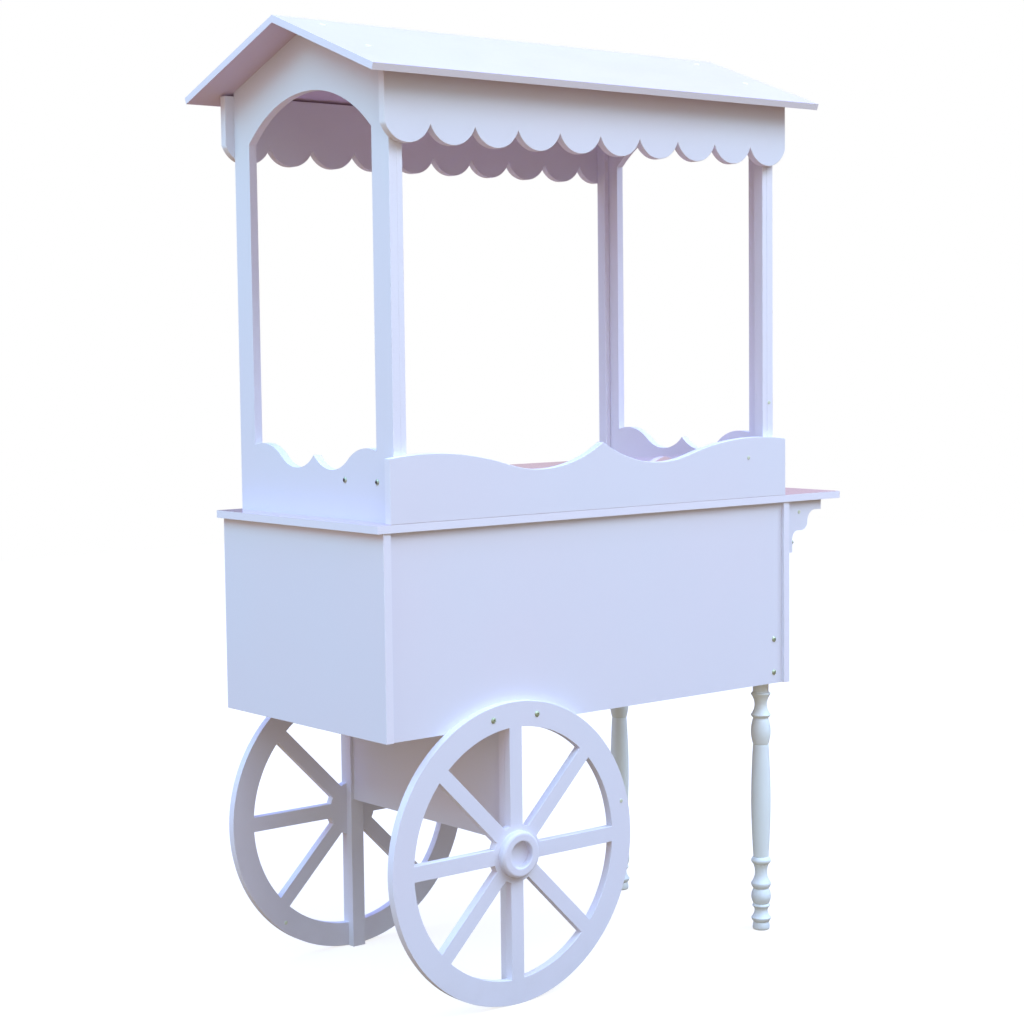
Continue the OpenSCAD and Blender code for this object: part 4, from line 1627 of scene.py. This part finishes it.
@dataclass
class RoomLight:
    """Soft light of the room, told apart by the side that it comes from.

    Attributes:
        sides: Directions of the ceiling and the walls, each with the colour and strength of its light.
        sharpness: How quickly a side's light fades away from its middle.
        near_floor: Light that the shaded floor under the cart sends up.
        far_floor: Light that the open floor sends up.
        shade_reach: Radius of the shaded floor.
        floor_grey: The floor's own grey, from its darkest to its palest patches.
        floor_glow: Light that keeps the floor almost white to the eye.
    """

    sides: tuple[tuple[Point, Colour], ...] = (
        ((0.0, 0.0, 1.0), (0.93, 1.17, 3.0)),
        ((-1.0, 0.0, 0.0), (0.95, 0.87, 0.86)),
        ((1.0, 0.0, 0.0), (0.30, 0.30, 0.34)),
        ((0.0, 1.0, 0.0), (0.28, 0.27, 0.31)),
    )
    sharpness: float = 2.0
    near_floor: Colour = (0.29, 0.29, 0.26)
    far_floor: Colour = (0.39, 0.285, 0.18)
    shade_reach: float = 1.6
    floor_grey: Span = (0.27, 0.3)
    floor_glow: float = 0.8

    def world(self) -> None:
        """Makes the world: a white backdrop to the eye, and the room's soft light to everything else."""
        world = bpy.data.worlds.new("white_room")
        bpy.context.scene.world = world
        shader = Shader.cleared(world, "Generated")
        total: object = (0.0, 0.0, 0.0)
        for toward, colour in self.sides:
            values = {0: shader.place, 1: toward}
            near = shader.add("VectorMath", values, operation="DOT_PRODUCT").outputs["Value"]
            share = shader.math("POWER", shader.math("MAXIMUM", near, 0.0), self.sharpness)
            part = shader.add("VectorMath", {0: colour, "Scale": share}, operation="SCALE").outputs[0]
            total = shader.add("VectorMath", {0: total, 1: part}, operation="ADD").outputs[0]
        backdrop = shader.add("Background", {"Color": WHITE})
        shader.split_output("OutputWorld", backdrop, shader.add("Background", {"Color": total}))

    def floor(self) -> bpy.types.Material:
        """Makes the floor's material: almost white to the eye, and soft light from below to the rest.

        Returns:
            The material.
        """
        made = bpy.data.materials.new("pale_floor")
        shader = Shader.cleared(made)
        cloud = shader.spread(shader.noise(1.5, detail=3.0), 0.3, 0.7, *self.floor_grey)
        grey = shader.add("CombineColor", {0: cloud, 1: cloud, 2: cloud}).outputs[0]
        matt = shader.add("BsdfDiffuse", {"Color": grey})
        glow = shader.add("Emission", {"Color": WHITE, "Strength": self.floor_glow})
        visible = shader.add("AddShader", {0: matt.outputs[0], 1: glow.outputs[0]})
        reach = shader.add("VectorMath", {0: shader.place}, operation="LENGTH").outputs["Value"]
        open_share = shader.spread(reach, 0.0, self.shade_reach, interpolation_type="SMOOTHSTEP")
        upward = shader.blend(open_share, self.near_floor, self.far_floor)
        shader.split_output("OutputMaterial", visible, shader.add("Emission", {"Color": upward}))
        return made


@dataclass
class Studio:
    """White room with a pale floor, soft lights and the photographer's camera.

    Attributes:
        room: Soft light all round.
        floor_half: Half of the floor's side.
        lights: Soft boxes.
        stand: Where the camera stands.
        yaw: How far the camera turns from +Y towards +X, in degrees.
        pitch: How far it looks down, in degrees.
        roll: How far it leans, in degrees.
        lens: Focal length in millimetres.
    """

    room: RoomLight = field(default_factory=RoomLight)
    floor_half: float = 9.0
    lights: tuple[Softbox, ...] = (
        Softbox("front_softbox", 0.0, 45.0, 9.0, 5.5, (188.0, 243.0, 212.0)),
        Softbox("left_softbox", -90.0, 45.0, 9.0, 5.5, (144.0, 368.0, 420.0)),
        Softbox("right_softbox", 45.0, 45.0, 9.0, 5.5, (378.0, 500.0, 622.0)),
        Softbox("low_softbox", -20.0, 14.0, 9.0, 4.0, (97.0, 101.0, 93.0)),
        Softbox("rear_card", 135.0, 10.0, 6.0, 4.0, (16.0, 9.5, 8.5), (0.4, 0.0, 1.0), sheen_only=True),
    )
    stand: Point = (-2.980, -3.557, 1.3395)
    yaw: float = 39.294
    pitch: float = 4.474
    roll: float = 0.648
    lens: float = 73.893

    def build(self) -> None:
        """Makes the world, the floor, the lights and the camera."""
        self.room.world()
        self.lay_floor()
        for light in self.lights:
            light.hang()
        self.stand_camera()
        bpy.context.scene.view_settings.view_transform = "Standard"

    def lay_floor(self) -> None:
        """Lays the pale floor, which shades softly under the cart."""
        bm = bmesh.new()
        bmesh.ops.create_grid(bm, x_segments=1, y_segments=1, size=self.floor_half)
        mesh = bpy.data.meshes.new("pale_floor")
        bm.to_mesh(mesh)
        bm.free()
        mesh.materials.append(self.room.floor())
        floor = bpy.data.objects.new("pale_floor", mesh)
        bpy.context.scene.collection.objects.link(floor)

    def stand_camera(self) -> None:
        """Stands the camera where the photographer stood."""
        yaw, pitch, roll = (math.radians(v) for v in (self.yaw, self.pitch, self.roll))
        ahead = Vector((math.sin(yaw) * math.cos(pitch), math.cos(yaw) * math.cos(pitch), -math.sin(pitch)))
        level = Vector((math.cos(yaw), -math.sin(yaw), 0.0))
        down = ahead.cross(level)
        right = math.cos(roll) * level + math.sin(roll) * down
        under = -math.sin(roll) * level + math.cos(roll) * down
        lens = bpy.data.cameras.new("photographer")
        lens.lens = self.lens
        camera = bpy.data.objects.new("photographer", lens)
        turn = Matrix((right, -under, -ahead)).transposed().to_4x4()
        camera.matrix_world = Matrix.Translation(self.stand) @ turn
        bpy.context.scene.collection.objects.link(camera)
        bpy.context.scene.camera = camera


def main() -> None:
    """Builds the cart's looks and the studio, in order."""
    logging.basicConfig(level=logging.INFO, format="%(name)s: %(message)s")
    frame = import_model()
    Studio().build()
    shop = Workshop(frame["nodes"])
    for part in (Cabinet, ServingTop, Canopy, RunningGear, TurnedLegs, Fasteners):
        part(shop).build()
        LOG.info("%s is built", part.__name__)
    LOG.info("%d pieces in all", shop.count)


if __name__ == "__main__":
    main()
